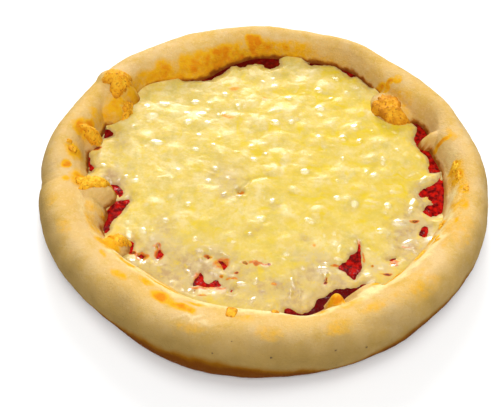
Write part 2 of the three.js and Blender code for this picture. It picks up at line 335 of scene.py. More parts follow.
def bubble_height(points, bubble):
    """How high a bubble's dome is over each point, far below zero outside it."""
    at, out, up, (radial, along, rise), _crease = bubble
    outward, sideways = over_rim(points, at, out, along, radial)
    reach = np.hypot(outward, sideways)
    reach = reach * (1 + 0.07 * cloud(points * [1, 1, 0], 8, seed=int(at)))
    edge = math.sqrt(1 - STEEPEST**2)
    side = edge - (reach - STEEPEST) * STEEPEST / edge
    dome = np.where(reach < STEEPEST, np.sqrt(np.maximum(1 - reach**2, 0)), side)
    return up + rise * dome


def raise_bubbles(points):
    """The points, lifted onto the bubbles that stand over them."""
    height = points[..., 2]
    for bubble in BUBBLES:
        height = soft_max(height, bubble_height(points, bubble), bubble[-1])
    return np.concatenate([points[..., :2], height[..., None]], axis=-1)


lifted = raise_bubbles(rim_point(round_turn, 0.5))
print("with its bubbles the crest is up to", round(float(lifted[:, 2].max()), 1), "mm high")

# %% Creases and wrinkles
# Where the dough is drawn in to a crease that runs out over the rim: angle, from and to distance, depth, width.
CREASES = [(188.8, 122, 141, 0.9, 1.5), (27, 112, 124, 0.6, 2), (139, 118, 130, 0.5, 2)]
# Where the skin has dried in fine wrinkles: angle, distance, half length along the rim, half width and depth.
WRINKLES = [(254, 122.5, 15, 6, 0.5), (184, 130, 8, 5, 0.25), (330, 125, 12, 6, 0.15)]
DEEPEST_WRINKLE = 0.45


def wrinkles(points):
    """How high the fine wrinkles of the dried skin stand, which run a little across the rim."""
    slant = math.radians(22)
    u = points[..., 0] * math.cos(slant) + points[..., 1] * math.sin(slant)
    v = points[..., 1] * math.cos(slant) - points[..., 0] * math.sin(slant)
    folds = 1 - 2 * np.abs(cloud(np.stack([0.4 * u, 1.5 * v, points[..., 2]], axis=-1), 3, seed=8))
    height = np.zeros(points.shape[:-1])
    for at, out, along, across, depth in WRINKLES:
        outward, sideways = over_rim(points, at, out, along, across)
        height = height + depth * folds * np.exp(-(outward**2) - sideways**2)
    return height


print(len(CREASES), "creases and", len(WRINKLES), "wrinkled places")

# %% The dough's unevenness
DRAWN_IN = 0.6  # how far the steep sides are drawn in, which keeps their lumps inside the solid's outline


def rim_normal(angle, share):
    """The direction that faces out of the rim."""
    step = 0.01
    low = min(share, 1 - step)
    around = rim_point(angle + 1, share) - rim_point(angle - 1, share)
    over = rim_point(angle, low + step) - rim_point(angle, low)
    normal = np.cross(around, over)
    return normal / np.linalg.norm(normal, axis=-1, keepdims=True)


def uneven(points, normal):
    """The points, moved by the dough's own unevenness."""
    height = 0.45 * cloud(points, 24, seed=3) + 0.3 * cloud(points, 11, seed=4)
    height = height + 0.16 * cloud(points, 4.5, seed=5) + 0.08 * cloud(points, 2.1, seed=6)
    for at, start, end, depth, width in CREASES:
        outward, sideways = over_rim(points, at, (start + end) / 2, width, (end - start) / 2)
        sideways = sideways + 0.5 * cloud(points, 6, seed=7)
        height = height - depth * np.exp(-(sideways**2)) * (1 - smoothstep(np.abs(outward), 0.5, 1.1))
    height = height + wrinkles(points)
    steep = np.hypot(normal[..., 0], normal[..., 1])
    height = height - DRAWN_IN * smoothstep(steep, 0.8, 1)
    fade = smoothstep(points[..., 2], 0.2, 3)  # the flat underside stays flat
    return points + normal * (height * fade)[..., None]


moved = uneven(lifted, rim_normal(round_turn, 0.5)) - lifted
print("the crest is moved by up to", round(float(np.linalg.norm(moved, axis=-1).max()), 2), "mm")

# %% The dough's rings
DOUGH_AROUND = 840
DOUGH_STEPS = 84  # round the section
CREST_SHARE = 0.4  # from here on inwards, the dough faces up
UNDERSIDE = ((30, 60), (60, 120), (90, 210), (112, 420))  # the radius and the number of points of each ring
INNER_FLOOR = ((70, 240), (35, 60))  # as above
FLOOR_FILLET = 5  # how far in from the wall's foot the floor is flat
FLOOR_RINGS = 14
FLOOR_SPACING = 1.2
angles = np.arange(DOUGH_AROUND) * 360 / DOUGH_AROUND


def flat_rings(sizes, z):
    """Flat round rings at a height."""
    return [polar(np.arange(count) * 360 / count, radius, z) for radius, count in sizes]


dough_rings = [np.zeros((1, 3))] + flat_rings(UNDERSIDE, 0)
for step in range(DOUGH_STEPS + 1):
    share = step / DOUGH_STEPS
    ring = rim_point(angles, share)
    if share > CREST_SHARE:
        ring = raise_bubbles(ring)
    dough_rings.append(uneven(ring, rim_normal(angles, share)))
for step in range(FLOOR_RINGS):
    ring = polar(angles, wall_foot(angles) - FLOOR_FILLET - FLOOR_SPACING * step, BASE_THICKNESS)
    dough_rings.append(raise_bubbles(ring))
dough_rings += flat_rings(INNER_FLOOR, BASE_THICKNESS) + [np.array([[0, 0, BASE_THICKNESS]])]
print("the dough has", len(dough_rings), "rings")

# %% [markdown]
# ### Where the dough has browned
#
# An oven browns dough where it is thin, dry or greasy: the inner crest that the cheese has spat on, the places
# where cheese has run, and the edge of the underside, which lies on the hot stone. These could be painted by
# hand. Here each place is kept as a value at every point of the mesh, with an outline that noise breaks up, so
# that one finish can serve the whole crust.

# %% Golden patches
# Angle, distance from the middle, half length along the rim, half width across it, and strength.
GOLDEN = [
    (220, 117, 3, 2, 0.5), (229, 119.5, 6, 2.6, 0.8), (236, 112, 6, 2.4, 0.75), (243, 117, 7, 3.8, 1.15),
    (249.5, 118.5, 8, 2.8, 1.0), (252, 113, 7, 1.4, 0.7), (226, 109, 12, 1.4, 0.7),
    (240, 107, 14, 1.2, 0.7), (254, 128, 9, 4, 0.3), (266, 116, 6, 3, 0.35), (272, 125, 8, 5, 0.3),
    (280, 113, 6, 2, 0.3), (289, 126, 9, 5, 0.35), (293, 105.5, 4.4, 4, 1.4), (288, 107, 5, 2.5, 0.5),
    (295, 112, 9, 4, 0.4), (300, 122, 9, 4, 0.35), (309, 106, 8, 1.3, 0.8), (307, 125, 8, 5, 0.25),
    (316, 107.5, 9, 1.3, 0.8), (316, 119, 7, 3, 0.35), (314, 127, 14, 6, 0.3), (336, 126, 14, 8, 0.25),
    (14, 122, 6, 3, 0.4), (36, 110, 14, 9, 0.4), (46, 112.5, 4, 3, 1.0), (43.4, 115.5, 3, 3.4, 1.1),
    (42, 119.5, 3, 2.6, 0.9), (13.2, 117, 2, 5.5, 1.25), (60, 116, 12, 4, 0.15), (78, 116, 9, 4, 0.55),
    (88, 117, 8, 4, 0.6), (94.5, 118.8, 7, 4.5, 1.5), (101, 113, 6, 4, 0.95), (108, 110, 6, 5, 1.05),
    (115, 107, 7, 6, 0.85), (121, 110, 6, 5, 0.8), (129.4, 112.6, 6, 6, 1.1), (138, 112, 7, 6, 0.45),
    (146, 123, 8, 6, 0.9), (160, 118, 5, 4, 0.5), (168, 119, 7, 6, 0.8), (178, 119, 7, 5, 0.8),
    (183.5, 122.5, 3.4, 2.9, 1.5), (189.2, 122, 3, 2.4, 0.8), (168.5, 120.5, 6, 3, 1.4),
    (165.4, 117, 6, 3, 0.9), (317, 105.5, 5, 2.2, 1.1), (287, 110.5, 4, 3, 0.7), (152, 110.7, 7, 6, 0.85),
    (188, 113, 7, 7, 0.8), (204, 103, 6, 2.4, 0.85), (199.5, 110, 5, 3, 0.4), (1.7, 119, 4, 3.4, 0.9),
    (357.9, 120.5, 5, 2.4, 1.0), (352.2, 121.5, 4, 3, 0.75), (354, 122, 13, 4, 0.3),
    (346.5, 122.5, 6, 3.4, 0.7), (340, 120.5, 3, 1.6, 0.7), (341.2, 113.5, 5, 3, 0.5),
    (332.1, 113.6, 2.4, 1.6, 0.8), (330.8, 120, 6, 3, 0.35), (326.9, 110, 9, 2.4, 0.55),
    (335, 110.5, 5, 2, 0.6), (196.5, 129.5, 6, 4, 0.22), (207, 128, 7, 5, 0.3), (206, 112, 10, 4, 0.5),
    (215, 108, 7.5, 7, 0.75), (358, 119.5, 11, 4.5, 0.62), (347, 120, 10, 4, 0.55), (337, 118, 7, 3, 0.5),
]
# How far the foot of the inner wall has browned all along: angle, spread and strength.
GOLDEN_WALL = [[106, 26, 1.05], [78, 14, 0.3], [134, 12, 0.4], [155, 12, 0.5], [235, 24, 0.3]]


def browning(points, bearing, inward):
    """The dough's golden colour, from 0 to about 1.3."""
    warp = drift(points, 5, (21, 22, 24))
    total = swell(GOLDEN_WALL, bearing) * smoothstep(inward + 0.1 * clouds(points, 9, seed=25), 0.62, 0.95)
    for at, out, along, across, strength in GOLDEN:
        outward, sideways = over_rim(points + 1.5 * warp, at, out, along, across)
        total = np.maximum(total, strength * np.exp(-((outward**2 + sideways**2) ** 2)))
    broken = total * (1 + 0.4 * clouds(points, 4, seed=23) + 0.25 * cloud(points, 2, seed=26))
    return broken * smoothstep(points[:, 2], 6, 9)


print(len(GOLDEN), "golden patches")

# %% Places on the rim
def bearing_of(points):
    """The angle of each point round the pizza."""
    return np.degrees(np.arctan2(points[..., 1], points[..., 0])) % 360


all_points = np.concatenate(dough_rings)
height = all_points[:, 2]
bearing = bearing_of(all_points)
spread = np.hypot(all_points[:, 0], all_points[:, 1])
inward = (outer_radius(bearing) - spread) / rim_width(bearing)  # 0 outside the rim, 1 at the wall's foot
outside = 1 - smoothstep(inward, 0.3, 0.45)
print("points on the outside of the rim:", int((outside > 0.5).sum()), "of", len(all_points))

# %% The dough's other marks
# The spans in these lists are [angle of the middle, spread in degrees, strength or millimetres].
# The outer flank is tanned, and it is darkened further as painted shade, more so on the near side, where the
# darkening reaches up to the crest.
TAN_AND_SHADE = [[262, 55, 0.58], [195, 35, 0.38], [345, 35, 0.2], [95, 70, -0.36]]
TAN_AND_SHADE_CREST = [[290, 35, 0.19]]
flank_tan_and_shade = 1 - smoothstep(inward + 0.07 * clouds(all_points, 18, seed=30), 0, 0.48 + swell(TAN_AND_SHADE_CREST, bearing))
flank_tan_and_shade = np.clip(flank_tan_and_shade * (0.4 + swell(TAN_AND_SHADE, bearing)), 0, 1)
# The lower edge has browned on the stone, up to a height that wavers, and it is also darkened as painted shade,
# reaching highest on the near side. The underside takes the same mix of browning and painted shade.
EDGE_BROWN_AND_SHADE_HEIGHTS = [[260, 25, 14], [240, 8, 2], [305, 12, 7], [325, 14, 7], [212, 14, 1.5], [110, 40, 1.5]]
edge_top = 7 + swell(EDGE_BROWN_AND_SHADE_HEIGHTS, bearing) + 1.3 * clouds(all_points, 9, seed=31)
low_edge_brown_and_shade = outside * (1 - smoothstep(height - edge_top, -6, 1))
low_edge_brown_and_shade = low_edge_brown_and_shade + (1 - smoothstep(height, 0.2, 2)) * (inward < 1) * 0.7
# The foot of the inner wall is stained by sauce and darkened as painted shade where it meets the sauce, but
# hardly so in these spans.
LESS_STAIN_AND_SHADE = [[245, 32, 0.85], [322, 36, 0.95]]
sauce_stain_and_shade = 1 - smoothstep(height + 0.8 * clouds(all_points, 3, seed=33), 7, 11)
sauce_stain_and_shade = sauce_stain_and_shade * smoothstep(inward, 0.5, 0.7) * (1 - swell(LESS_STAIN_AND_SHADE, bearing))
# A painted highlight: a pale strip along the inner slope in these spans.
EDGE_HIGHLIGHT_SPANS = [[230, 30, 0.8], [285, 35, 0.9], [325, 20, 0.6], [352, 18, 0.7]]
frayed = inward + 0.05 * clouds(all_points, 5, seed=34)
edge_highlight = smoothstep(frayed, 0.66, 0.84) * (1 - smoothstep(frayed, 0.88, 0.98))
edge_highlight = edge_highlight * np.clip(swell(EDGE_HIGHLIGHT_SPANS, bearing), 0, 1)
print("tanned up to", round(flank_tan_and_shade.max(), 2), "and browned up to", round(edge_top.max(), 1), "mm high")

# %% The crust
crust = make_piece(
    "fine_crust",
    dough_rings,
    {
        "browning": browning(all_points, bearing, inward),
        "flank_tan_and_shade": flank_tan_and_shade,
        "low_edge_brown_and_shade": np.clip(low_edge_brown_and_shade, 0, 1),
        "wrinkled": np.clip(wrinkles(all_points) / DEEPEST_WRINKLE, 0, 1),
        "sauce_stain_and_shade": sauce_stain_and_shade,
        "edge_highlight": edge_highlight,
    },
    ["crust"],
)
crust_tree = BVHTree.FromObject(crust, bpy.context.evaluated_depsgraph_get())

# %% [markdown]
# ## Tomato sauce
#
# The sauce is a spread of cooked tomato. Most of it is under the cheese, but it shows at the edge and in the
# gaps, where it is wet and full of small lumps of pulp. A disc with a low, busy relief is enough, because its
# gloss does the rest. Near the wall it has dried darker.

# %% The sauce's form
SAUCE_FLOOR = BASE_THICKNESS + GAP
SAUCE_TUCK = 3


def sauce_height(points):
    """The height of the sauce's top before its pulp is added, as on the solid."""
    x, y = points[..., 0], points[..., 1]
    wave = 0.2 * np.sin(x / 9 + 1.3) * np.cos(y / 8) + 0.2 * np.sin((x + 2 * y) / 15)
    return SAUCE_FLOOR + SAUCE_THICKNESS + wave


def disc_rings(count, reach):
    """A disc's rings from the middle out: ring k has 6k points. Reach gives the edge's distance."""
    rings = []
    for k in range(count + 1):
        turns = np.arange(max(1, 6 * k)) * 360 / max(1, 6 * k)
        rings.append(polar(turns, k / count * reach(turns), 0))
    return rings


def with_height(points, height):
    """The points, at other heights."""
    return np.concatenate([points[..., :2], np.asarray(height)[..., None]], axis=-1)


def sauce_reach(angle):
    """How far out the sauce runs, a little way under the wall."""
    return wall_foot(angle) + SAUCE_TUCK


print("the sauce is up to", round(2 * sauce_reach(round_turn).max()), "mm across")

# %% The sauce's pulp
SAUCE_RINGS = 120
sauce_top = []
for ring in disc_rings(SAUCE_RINGS, sauce_reach):
    pulp = 0.25 * clouds(ring, 5, seed=41, layers=2) + 0.12 * np.abs(cloud(ring, 2.4, seed=43))
    sauce_top.append(with_height(ring, sauce_height(ring) + pulp))
sauce_edge = with_height(sauce_top[-1], np.full(len(sauce_top[-1]), SAUCE_FLOOR))
sauce_rings = [np.array([[0, 0, SAUCE_FLOOR]]), sauce_edge] + sauce_top[::-1]
sauce_points = np.concatenate(sauce_rings)
print("the sauce's top is", np.round(np.ptp(sauce_points[sauce_points[:, 2] > SAUCE_FLOOR, 2]), 2), "mm uneven")

# %% The sauce's dried edge
sauce_bearing = bearing_of(sauce_points)
from_wall = wall_foot(sauce_bearing) - np.hypot(sauce_points[:, 0], sauce_points[:, 1])
DRY_SPANS = [[104, 22, 1], [70, 14, 1], [294, 17, 1.1], [318, 6, 0.3], [166, 12, 0.7], [32, 10, 0.8]]
DRY_SPANS += [[203, 5, 0.4]]
dried = np.clip(swell(DRY_SPANS, sauce_bearing), 0, 1) * (1 - smoothstep(from_wall, 12, 22))
dried = np.maximum(dried, 0.8 * (1 - smoothstep(from_wall + clouds(sauce_points, 4, seed=44), -1, 2.5)))
print("sauce dried on", round(float((dried > 0.5).mean()) * 100), "percent of its points")
sauce = make_piece("fine_sauce", sauce_rings, {"dried": dried}, ["sauce"])

# %% [markdown]
# ## Melted cheese
#
# Grated cheese melts into one blanket, but not an even one. Each heap of shreds stays as a low mound, the fat
# gathers in the hollows between the mounds, and the blanket tears where it was thin. The mounds stand on a
# sunflower spiral, which covers a disc evenly without looking ordered. Smaller mounds and the ghosts of shreds
# lie over them. Where the blanket has a gap, its skin dips under the sauce, so that the edge of the gap is a
# real rounded lip.

# %% The cheese's mounds
MOUNDS = 110
MOUND_RADIUS = (6.5, 10.5)
MOUND_RISE = (0.9, 2.2)
MOUND_FIELD = 112  # the radius of the disc that they cover
GOLDEN_ANGLE = 137.5


def seeded(seed):
    """Draws from 0 to 1, the same on every run."""
    while True:
        seed = (seed * 1664525 + 1013904223) % 4294967296
        yield seed / 4294967296


def between(limits, draw):
    """A value between two limits."""
    return limits[0] + (limits[1] - limits[0]) * draw


draws = seeded(7)
mounds = []
for k in range(MOUNDS):
    x, y, _ = polar(k * GOLDEN_ANGLE, MOUND_FIELD * math.sqrt((k + 0.5) / MOUNDS), 0)
    x += between((-4, 4), next(draws))
    y += between((-4, 4), next(draws))
    radius = between(MOUND_RADIUS, next(draws))
    mounds.append((x, y, radius, radius, 0, between(MOUND_RISE, next(draws))))
print(len(mounds), "mounds, up to", round(max(mound[-1] for mound in mounds), 2), "mm high")

# %% Firm lumps
# Lumps that stand out of the blanket and catch the light: x, y, half length, half width, turn and rise.
FIRM_LUMPS = [
    (6, 47, 8, 3.8, 0, 1.0), (-70, 25, 8.5, 3.4, 4, 1.0), (61, 45, 5.5, 4.8, 0, 1.5),
    (52, 35, 5, 4.8, 0, 1.4), (-68, 61, 6, 3.6, 5, 1.0), (26, 4, 5.5, 4.2, 0, 1.1),
    (-75, 49, 6.5, 4.8, 10, 1.4), (-8, 24, 5, 4.2, 0, 1.0), (50, 92, 4, 3.8, 0, 1.1),
    (-48, 64, 5, 3.4, 10, 1.0), (-51, 44, 4.2, 4, 0, 1.2), (37, 62, 4.2, 4, 0, 1.2),
    (-42, 53, 5.5, 3.2, 14, 1.0), (56, -21, 4.5, 4.2, 0, 1.3), (-81, 58, 4, 3.8, 0, 1.1),
    (-80, -8, 4.5, 3.6, 0, 1.1), (37, 80, 4, 3.8, 0, 1.1), (-1, -35, 4.5, 3.4, 0, 1.1),
    (6, 82, 4, 4.2, 0, 1.1), (-36, -66, 4, 3.4, 0, 1.0), (18, 49, 4, 3.4, 0, 0.9),
    (77, -21, 4, 3.8, 0, 1.2), (62, 33, 3.5, 3.2, 0, 0.9), (36, 35, 3.5, 3.5, 0, 0.9),
    (-6, 13, 3.5, 3.2, 0, 0.8), (-28, 72, 3.5, 3.2, 0, 0.8), (70, 3, 5, 3, 0, 0.8),
    (46, -17, 3.5, 3.2, 0, 0.9), (16, 71, 3.5, 3, 0, 0.7), (45, 72, 3, 2.6, 0, 0.7),
    (-2, 86, 3, 2.8, 0, 0.7), (6, -21, 3, 2.8, 0, 0.8), (43, -51, 3, 2.8, 0, 0.8),
    (13, -63, 3, 2.8, 0, 0.7), (-43, 33, 3, 2.6, 0, 0.7), (-33, 24, 3.4, 2.4, 0, 0.6),
    (-35, -7, 3, 2.6, 0, 0.7), (54, -60, 3, 2.8, 0, 0.9), (37, -73, 5.5, 3.4, 10, 1.0),
    (86, 6, 3, 2.4, 0, 0.7), (-71, -47, 4, 3.4, -20, 1.1), (-78, -55, 5.5, 4, -30, 1.2),
    (-87, -5, 3, 2.8, 0, 0.8), (-94, -14, 3.5, 3, 0, 0.9), (85, -34, 9, 3.8, 15, 1.7),
    (71, -41, 7, 3.2, 8, 1.1), (91, -24, 4.5, 3.4, 50, 1.5), (87, -51, 6, 3, 35, 1.0),
    (103.5, 2, 8, 2.8, 38, 1.8), (100, -17, 4, 2, 40, 0.9), (57, -48.5, 4, 2.6, 10, 1.0),
    (36, -70, 6, 3, 0, 0.9), (-29, -75, 3, 1.6, 0, 0.6), (-27, -87.5, 4, 1.5, 0, 0.4),
    (-37, -60, 5, 2.4, 0, 0.9), (-103, 3, 6, 2.4, -10, 1.0), (-97, -8, 5, 2.2, -40, 1.0),
    (-78, -50, 6, 2.4, -30, 1.0), (14.5, -60, 3.2, 2.2, 0, 0.8), (-7, -47, 2.6, 2, 0, 0.7),
    (-16, -52.5, 3, 2, 0, 0.7), (-60, -57, 4, 1.1, -50, 0.7), (-57, -63, 3, 1, -30, 0.6),
    (-15, -90, 3, 0.9, 20, 0.5), (-9, -87, 2.5, 0.9, 10, 0.5), (28.8, -89, 4, 1.1, 60, 0.6),
    (-17, -77.3, 4, 1.1, 10, 0.6), (53.5, -54, 2.8, 2.2, 0, 0.9), (38.5, -66.5, 5, 2, 0, 0.9),
    (93.5, -18, 7, 4, 60, 1.6), (87, -48, 9, 3, 30, 1.3),
]
print(len(FIRM_LUMPS), "firm lumps")

# %% Pools of fat
# Where fat has gathered in the hollows: x, y, half length, half width and strength.
OIL_POOLS = [
    (70, 41, 10, 3.5, 1.0), (60, 12, 9, 2.6, 0.8), (41, 9, 5, 5, 1.0), (40, -9, 7, 4, 0.7),
    (42, 37, 4, 6, 1.0), (-42, 5, 6, 5, 0.6), (63, -13, 4.5, 5, 0.95), (57, 53, 4, 4, 0.7),
    (61, -34, 4.5, 3.5, 0.9), (-31, 69, 5, 3.5, 0.5), (17, -39, 4, 3.5, 0.8), (1, -27, 4.5, 3, 0.9),
    (-43, -28, 4, 3, 0.9), (-81, -11, 5, 3.5, 0.5), (-50, -13, 5.5, 2.5, 0.5), (-65, 56, 4, 2.5, 0.5),
    (75, -73, 5, 4, 0.8), (52, 29, 3, 3, 0.5), (49, 86, 3.5, 2.5, 0.6), (27, -3, 3, 4.5, 0.5),
    (57, -8, 3.4, 3.5, 0.9), (88, 41, 2.5, 3, 0.9), (-71, -78, 3, 2.5, 0.8), (19, -77, 3, 3, 0.8),
    (91, -15, 3, 3.6, 0.6), (7, 77, 5, 2, 0.5),
]
print(len(OIL_POOLS), "pools of fat")

# %% Small lumps, ridges and shreds
SMALL_LUMPS = 420
PEARLS = 130
RIDGES = 260
SHREDS = 260


def scattered(count, radius_limits, stretch_limits, rise_limits, seed):
    """Small mounds or shreds drawn at random over the whole disc."""
    draw = seeded(seed)
    heaps = []
    for _ in range(count):
        x, y, _z = polar(360 * next(draw), MOUND_FIELD * math.sqrt(next(draw)), 0)
        wide = between(radius_limits, next(draw))
        long = wide * between(stretch_limits, next(draw))
        heaps.append((x, y, long, wide, 180 * next(draw), between(rise_limits, next(draw))))
    return heaps


small_lumps = scattered(SMALL_LUMPS, (3, 6), (1, 1.7), (0.12, 0.42), seed=11)
pearls = scattered(PEARLS, (2.2, 3.6), (1, 1.5), (0.35, 0.75), seed=15)
ridges = scattered(RIDGES, (1.2, 1.8), (1.5, 3), (0.5, 0.9), seed=16)
shreds = scattered(SHREDS, (1.6, 2.6), (4, 7), (0.12, 0.3), seed=12)
print(len(small_lumps + pearls), "small lumps,", len(ridges), "ridges and", len(shreds), "shreds")

# %% Heaps and cushions
def heap_height(points, heaps, blend, power=1.0):
    """How high a set of round or long heaps stands over each point."""
    height = np.zeros(points.shape[:-1])
    flat = points[..., :2]
    for x, y, long, wide, turn, rise in heaps:
        off = flat - (x, y)
        near = np.nonzero((np.abs(off[..., 0]) < long) & (np.abs(off[..., 1]) < long))[0]
        if len(near) == 0:
            continue
        cos, sin = math.cos(math.radians(turn)), math.sin(math.radians(turn))
        u = (off[near, 0] * cos + off[near, 1] * sin) / long
        v = (off[near, 1] * cos - off[near, 0] * sin) / wide
        dome = rise * np.maximum(1 - u * u - v * v, 0) ** power
        height[near] = np.where(dome > 0, soft_max(height[near], dome, blend * rise), height[near])
    return height


def cushions(points, size, seed):
    """Soft cushions: 0 in the creases between them and nearly 1 on top."""
    return 1 - np.exp(-((cloud(points, size, seed) / 0.28) ** 2))


print("a lone heap of 2 mm stands", heap_height(np.zeros((1, 3)), [(0, 0, 5, 5, 0, 2)], 0.5)[0], "mm high")

# %% [markdown]
# ### Gaps in the cheese
#
# The blanket reaches the wall nearly all round, but it is torn. Holes could be cut with Booleans, which leave
# sharp walls. Here each gap is an outline of a few points, along the wall or in the middle of the cheese, and
# noise makes its edge ragged. The distance to the nearest edge then says how thick the cheese is: nothing
# outside, a rounded lip at the edge, and full thickness some way in.

# %% Gaps along the wall
# Their outer sides lie inside the dough. They only partly cover the solids' gaps: a little over half of the
# sauce that shows is where the solids show it.
WALL_GAPS = [
    [(-56, 87.5), (-46, 88.5), (-38.5, 90), (-36, 92.5), (-32.5, 95.5), (-28.5, 100.5), (-25, 105),
     (-21.5, 105.5), (-18.5, 104), (-14.5, 105), (-12.5, 107), (-7.5, 108.5), (-3, 107.5), (-1, 103.5),
     (3, 103), (7, 105), (10, 109), (9, 120), (-19, 118.5), (-30, 113.5), (-38.5, 104), (-56.5, 92.5)],
    [(30, 111), (33, 108.5), (40, 110), (50, 110), (53, 105), (56, 102), (59.5, 98.5), (64, 99),
     (66.5, 96), (70, 92), (73, 88), (76, 89), (79.5, 100), (71, 108), (60.5, 114), (52, 119), (30, 121)],
    [(99, 59.5), (100, 53), (102, 49), (100, 43.5), (98.5, 38), (100, 32.5), (102.5, 28), (106, 24.5),
     (107, 20.5), (105.5, 13), (106.5, 9.5), (110, 9), (113, 10), (120, 16.5), (119, 28), (113, 33),
     (112, 42), (113, 55.5), (106, 64.5)],
    [(113.5, 8.5), (109.5, 2), (105, -1.5), (101, -4), (96.5, -8.5), (98, -10.5), (101.5, -11.5),
     (104.5, -14.5), (101, -18.5), (98, -22.5), (100.5, -25), (103.5, -27), (107, -25.5), (111.5, -23),
     (117.5, -13), (118, 1)],
    [(13, -96), (16, -95.5), (18, -96), (20.5, -98), (23.5, -99), (26.5, -98), (29.5, -94.5), (31, -91.5),
     (32.5, -88.5), (35, -87.3), (37.5, -86.3), (40, -84), (42.5, -81.5), (48, -81), (54.5, -80),
     (57.5, -79), (60, -78), (62, -78.5), (64, -82), (50, -95), (38.5, -102), (22, -107.5), (12, -101.5)],
    [(-99.5, 36), (-100, 32), (-103.5, 30.5), (-106.5, 30), (-109, 33), (-107.5, 37.5), (-103, 38.5)],
    [(-116, 15.5), (-113.5, 15.5), (-110.5, 11.5), (-110.5, 7), (-108, 3), (-110, 0), (-114, 2.5),
     (-117.5, 9)],
    [(-95.5, -9), (-91.5, -10), (-88, -13), (-86.5, -17), (-88.5, -20.5), (-91, -18), (-94, -14)],
    [(-90, -23), (-85.5, -21.5), (-82.5, -21), (-81.5, -23), (-83.5, -28), (-86.5, -34.5), (-89, -37.5),
     (-90.5, -41.5), (-90.5, -45.5), (-93, -49), (-99, -48), (-99.5, -38), (-95.5, -31)],
    [(-81, -60), (-81, -54.5), (-78, -53), (-75.8, -55.5), (-75.5, -59.5), (-75, -63), (-78, -62.5)],
]
print(len(WALL_GAPS), "gaps along the wall")

# %% Gaps in the blanket
GAPS = [
    [(57, -49), (58, -52), (58.5, -58.5), (58.5, -67), (57.5, -69.5), (55.5, -72), (54, -75), (51.5, -74.5),
     (49.5, -73), (48, -70), (44.5, -67.5), (45.5, -66), (49, -63.5), (50.5, -61), (52, -58.5), (54, -57),
     (56, -53.5)],
    [(-35.5, -73.5), (-33.5, -77), (-31.5, -80), (-29.5, -82), (-27, -79.5), (-24.5, -79), (-23, -82),
     (-22, -84), (-26, -84.5), (-31, -84.5), (-35.5, -83), (-38.5, -83.5), (-40, -84.5), (-38.5, -80),
     (-37, -76.5)],
    [(-26, -65.5), (-24, -66.5), (-22, -67), (-20, -69), (-21, -71.5), (-22, -73), (-23.5, -70.5),
     (-25, -68)],
    [(-32, -63.5), (-31, -62), (-30, -63.5), (-31.5, -64.5)],
    [(-17.5, -87), (-17, -85.5), (-16, -85), (-16.5, -87.5)],
    [(73.5, -60.5), (76.5, -59.5), (80, -58.5), (78.5, -60.5), (75, -61.5)],
    [(94.5, -39), (96, -35.5), (98.5, -34.5), (101, -35.5), (100.5, -39), (99, -42.5), (96.5, -43),
     (94.5, -42)],
    [(-72, -64.5), (-70, -62), (-67.5, -64.5), (-69.5, -66.5)],
    [(-61.5, -64), (-61, -60.5), (-60, -59.5), (-57.5, -62.5), (-58.5, -64.5), (-60, -66.5)],
    [(-38.5, -87.5), (-38, -86), (-37, -86), (-37.5, -88)],
    [(36.3, -75), (37.2, -76), (37.2, -79), (36.3, -79.5)],
    [(-14.6, -13.6), (-13.6, -13.2), (-13.2, -14.4), (-14.2, -14.6)],
]
print(len(GAPS), "gaps in the blanket")


# %% The distance to an outline
def outline_distance(points, outline):
    """The distance of each point from a closed outline, below zero inside it."""
    flat = points[..., :2]
    corners = np.array(outline, dtype=float)
    least = np.full(flat.shape[:-1], np.inf)
    inside = np.zeros(flat.shape[:-1], dtype=bool)
    for a, b in zip(corners, np.roll(corners, -1, axis=0)):
        along = b - a
        off = flat - a
        share = np.clip((off @ along) / (along @ along), 0, 1)
        least = np.minimum(least, np.linalg.norm(off - share[..., None] * along, axis=-1))
        crosses = (a[1] > flat[..., 1]) != (b[1] > flat[..., 1])
        height = np.where(along[1] == 0, 1, along[1])
        inside ^= crosses & (flat[..., 0] < a[0] + (flat[..., 1] - a[1]) / height * along[0])
    return np.where(inside, -least, least)


square = [(-1, -1), (1, -1), (1, 1), (-1, 1)]
print("the middle of a 2 mm square is", outline_distance(np.zeros((1, 2)), square)[0], "mm from its outline")

# %% Strands across a gap
# Thin strands of cheese: x and y of both ends and half width.
STRANDS = [
    (97, -19, 104.5, -16.5, 0.5),
    (98, -16, 103, -13.5, 0.4),
    (98, -12, 102.5, -11, 0.4),
]
print(len(STRANDS), "strands")

# %% The distance to the cheese's edge
LONGEST_RAMP = 6.5  # how far in from a large gap the cheese reaches its full thickness
WALL_TUCK = 6  # how far past the wall's foot the blanket would run if the wall weren't there
NEAR_GAP = 14  # points further than this from a gap aren't measured


def off_line(points, x0, y0, x1, y1):
    """How far flat points are from a line between two places."""
    along = np.array([x1 - x0, y1 - y0])
    off = points - (x0, y0)
    share = np.clip((off @ along) / (along @ along), 0, 1)
    return np.linalg.norm(off - share[..., None] * along, axis=-1)


def from_edge(points):
    """How far points are from the blanket's nearest edge, below zero in a gap, and how full it is there."""
    least = wall_foot(bearing_of(points)) + WALL_TUCK - np.hypot(points[..., 0], points[..., 1])
    full = smoothstep(least, 0, LONGEST_RAMP)
    torn = points[..., :2] + 0.8 * drift(points, 4.5, (51, 52)) + 0.5 * drift(points, 1.9, (53, 54))
    for outline in WALL_GAPS + GAPS:
        low = np.min(outline, axis=0) - NEAR_GAP
        high = np.max(outline, axis=0) + NEAR_GAP
        near = np.all((torn > low) & (torn < high), axis=-1)
        if near.any():
            ramp = min(LONGEST_RAMP, 3 + 0.4 * np.ptp(outline, axis=0).max())
            away = outline_distance(torn[near], outline)
            least[near] = np.minimum(least[near], away)
            full[near] = np.minimum(full[near], smoothstep(away, -0.5, ramp))
    for x0, y0, x1, y1, half in STRANDS:
        least = np.maximum(least, half - off_line(torn, x0, y0, x1, y1))
    return least, full


print("the pizza's middle is", round(float(from_edge(np.zeros((1, 3)))[0][0]), 1), "mm from the nearest edge")

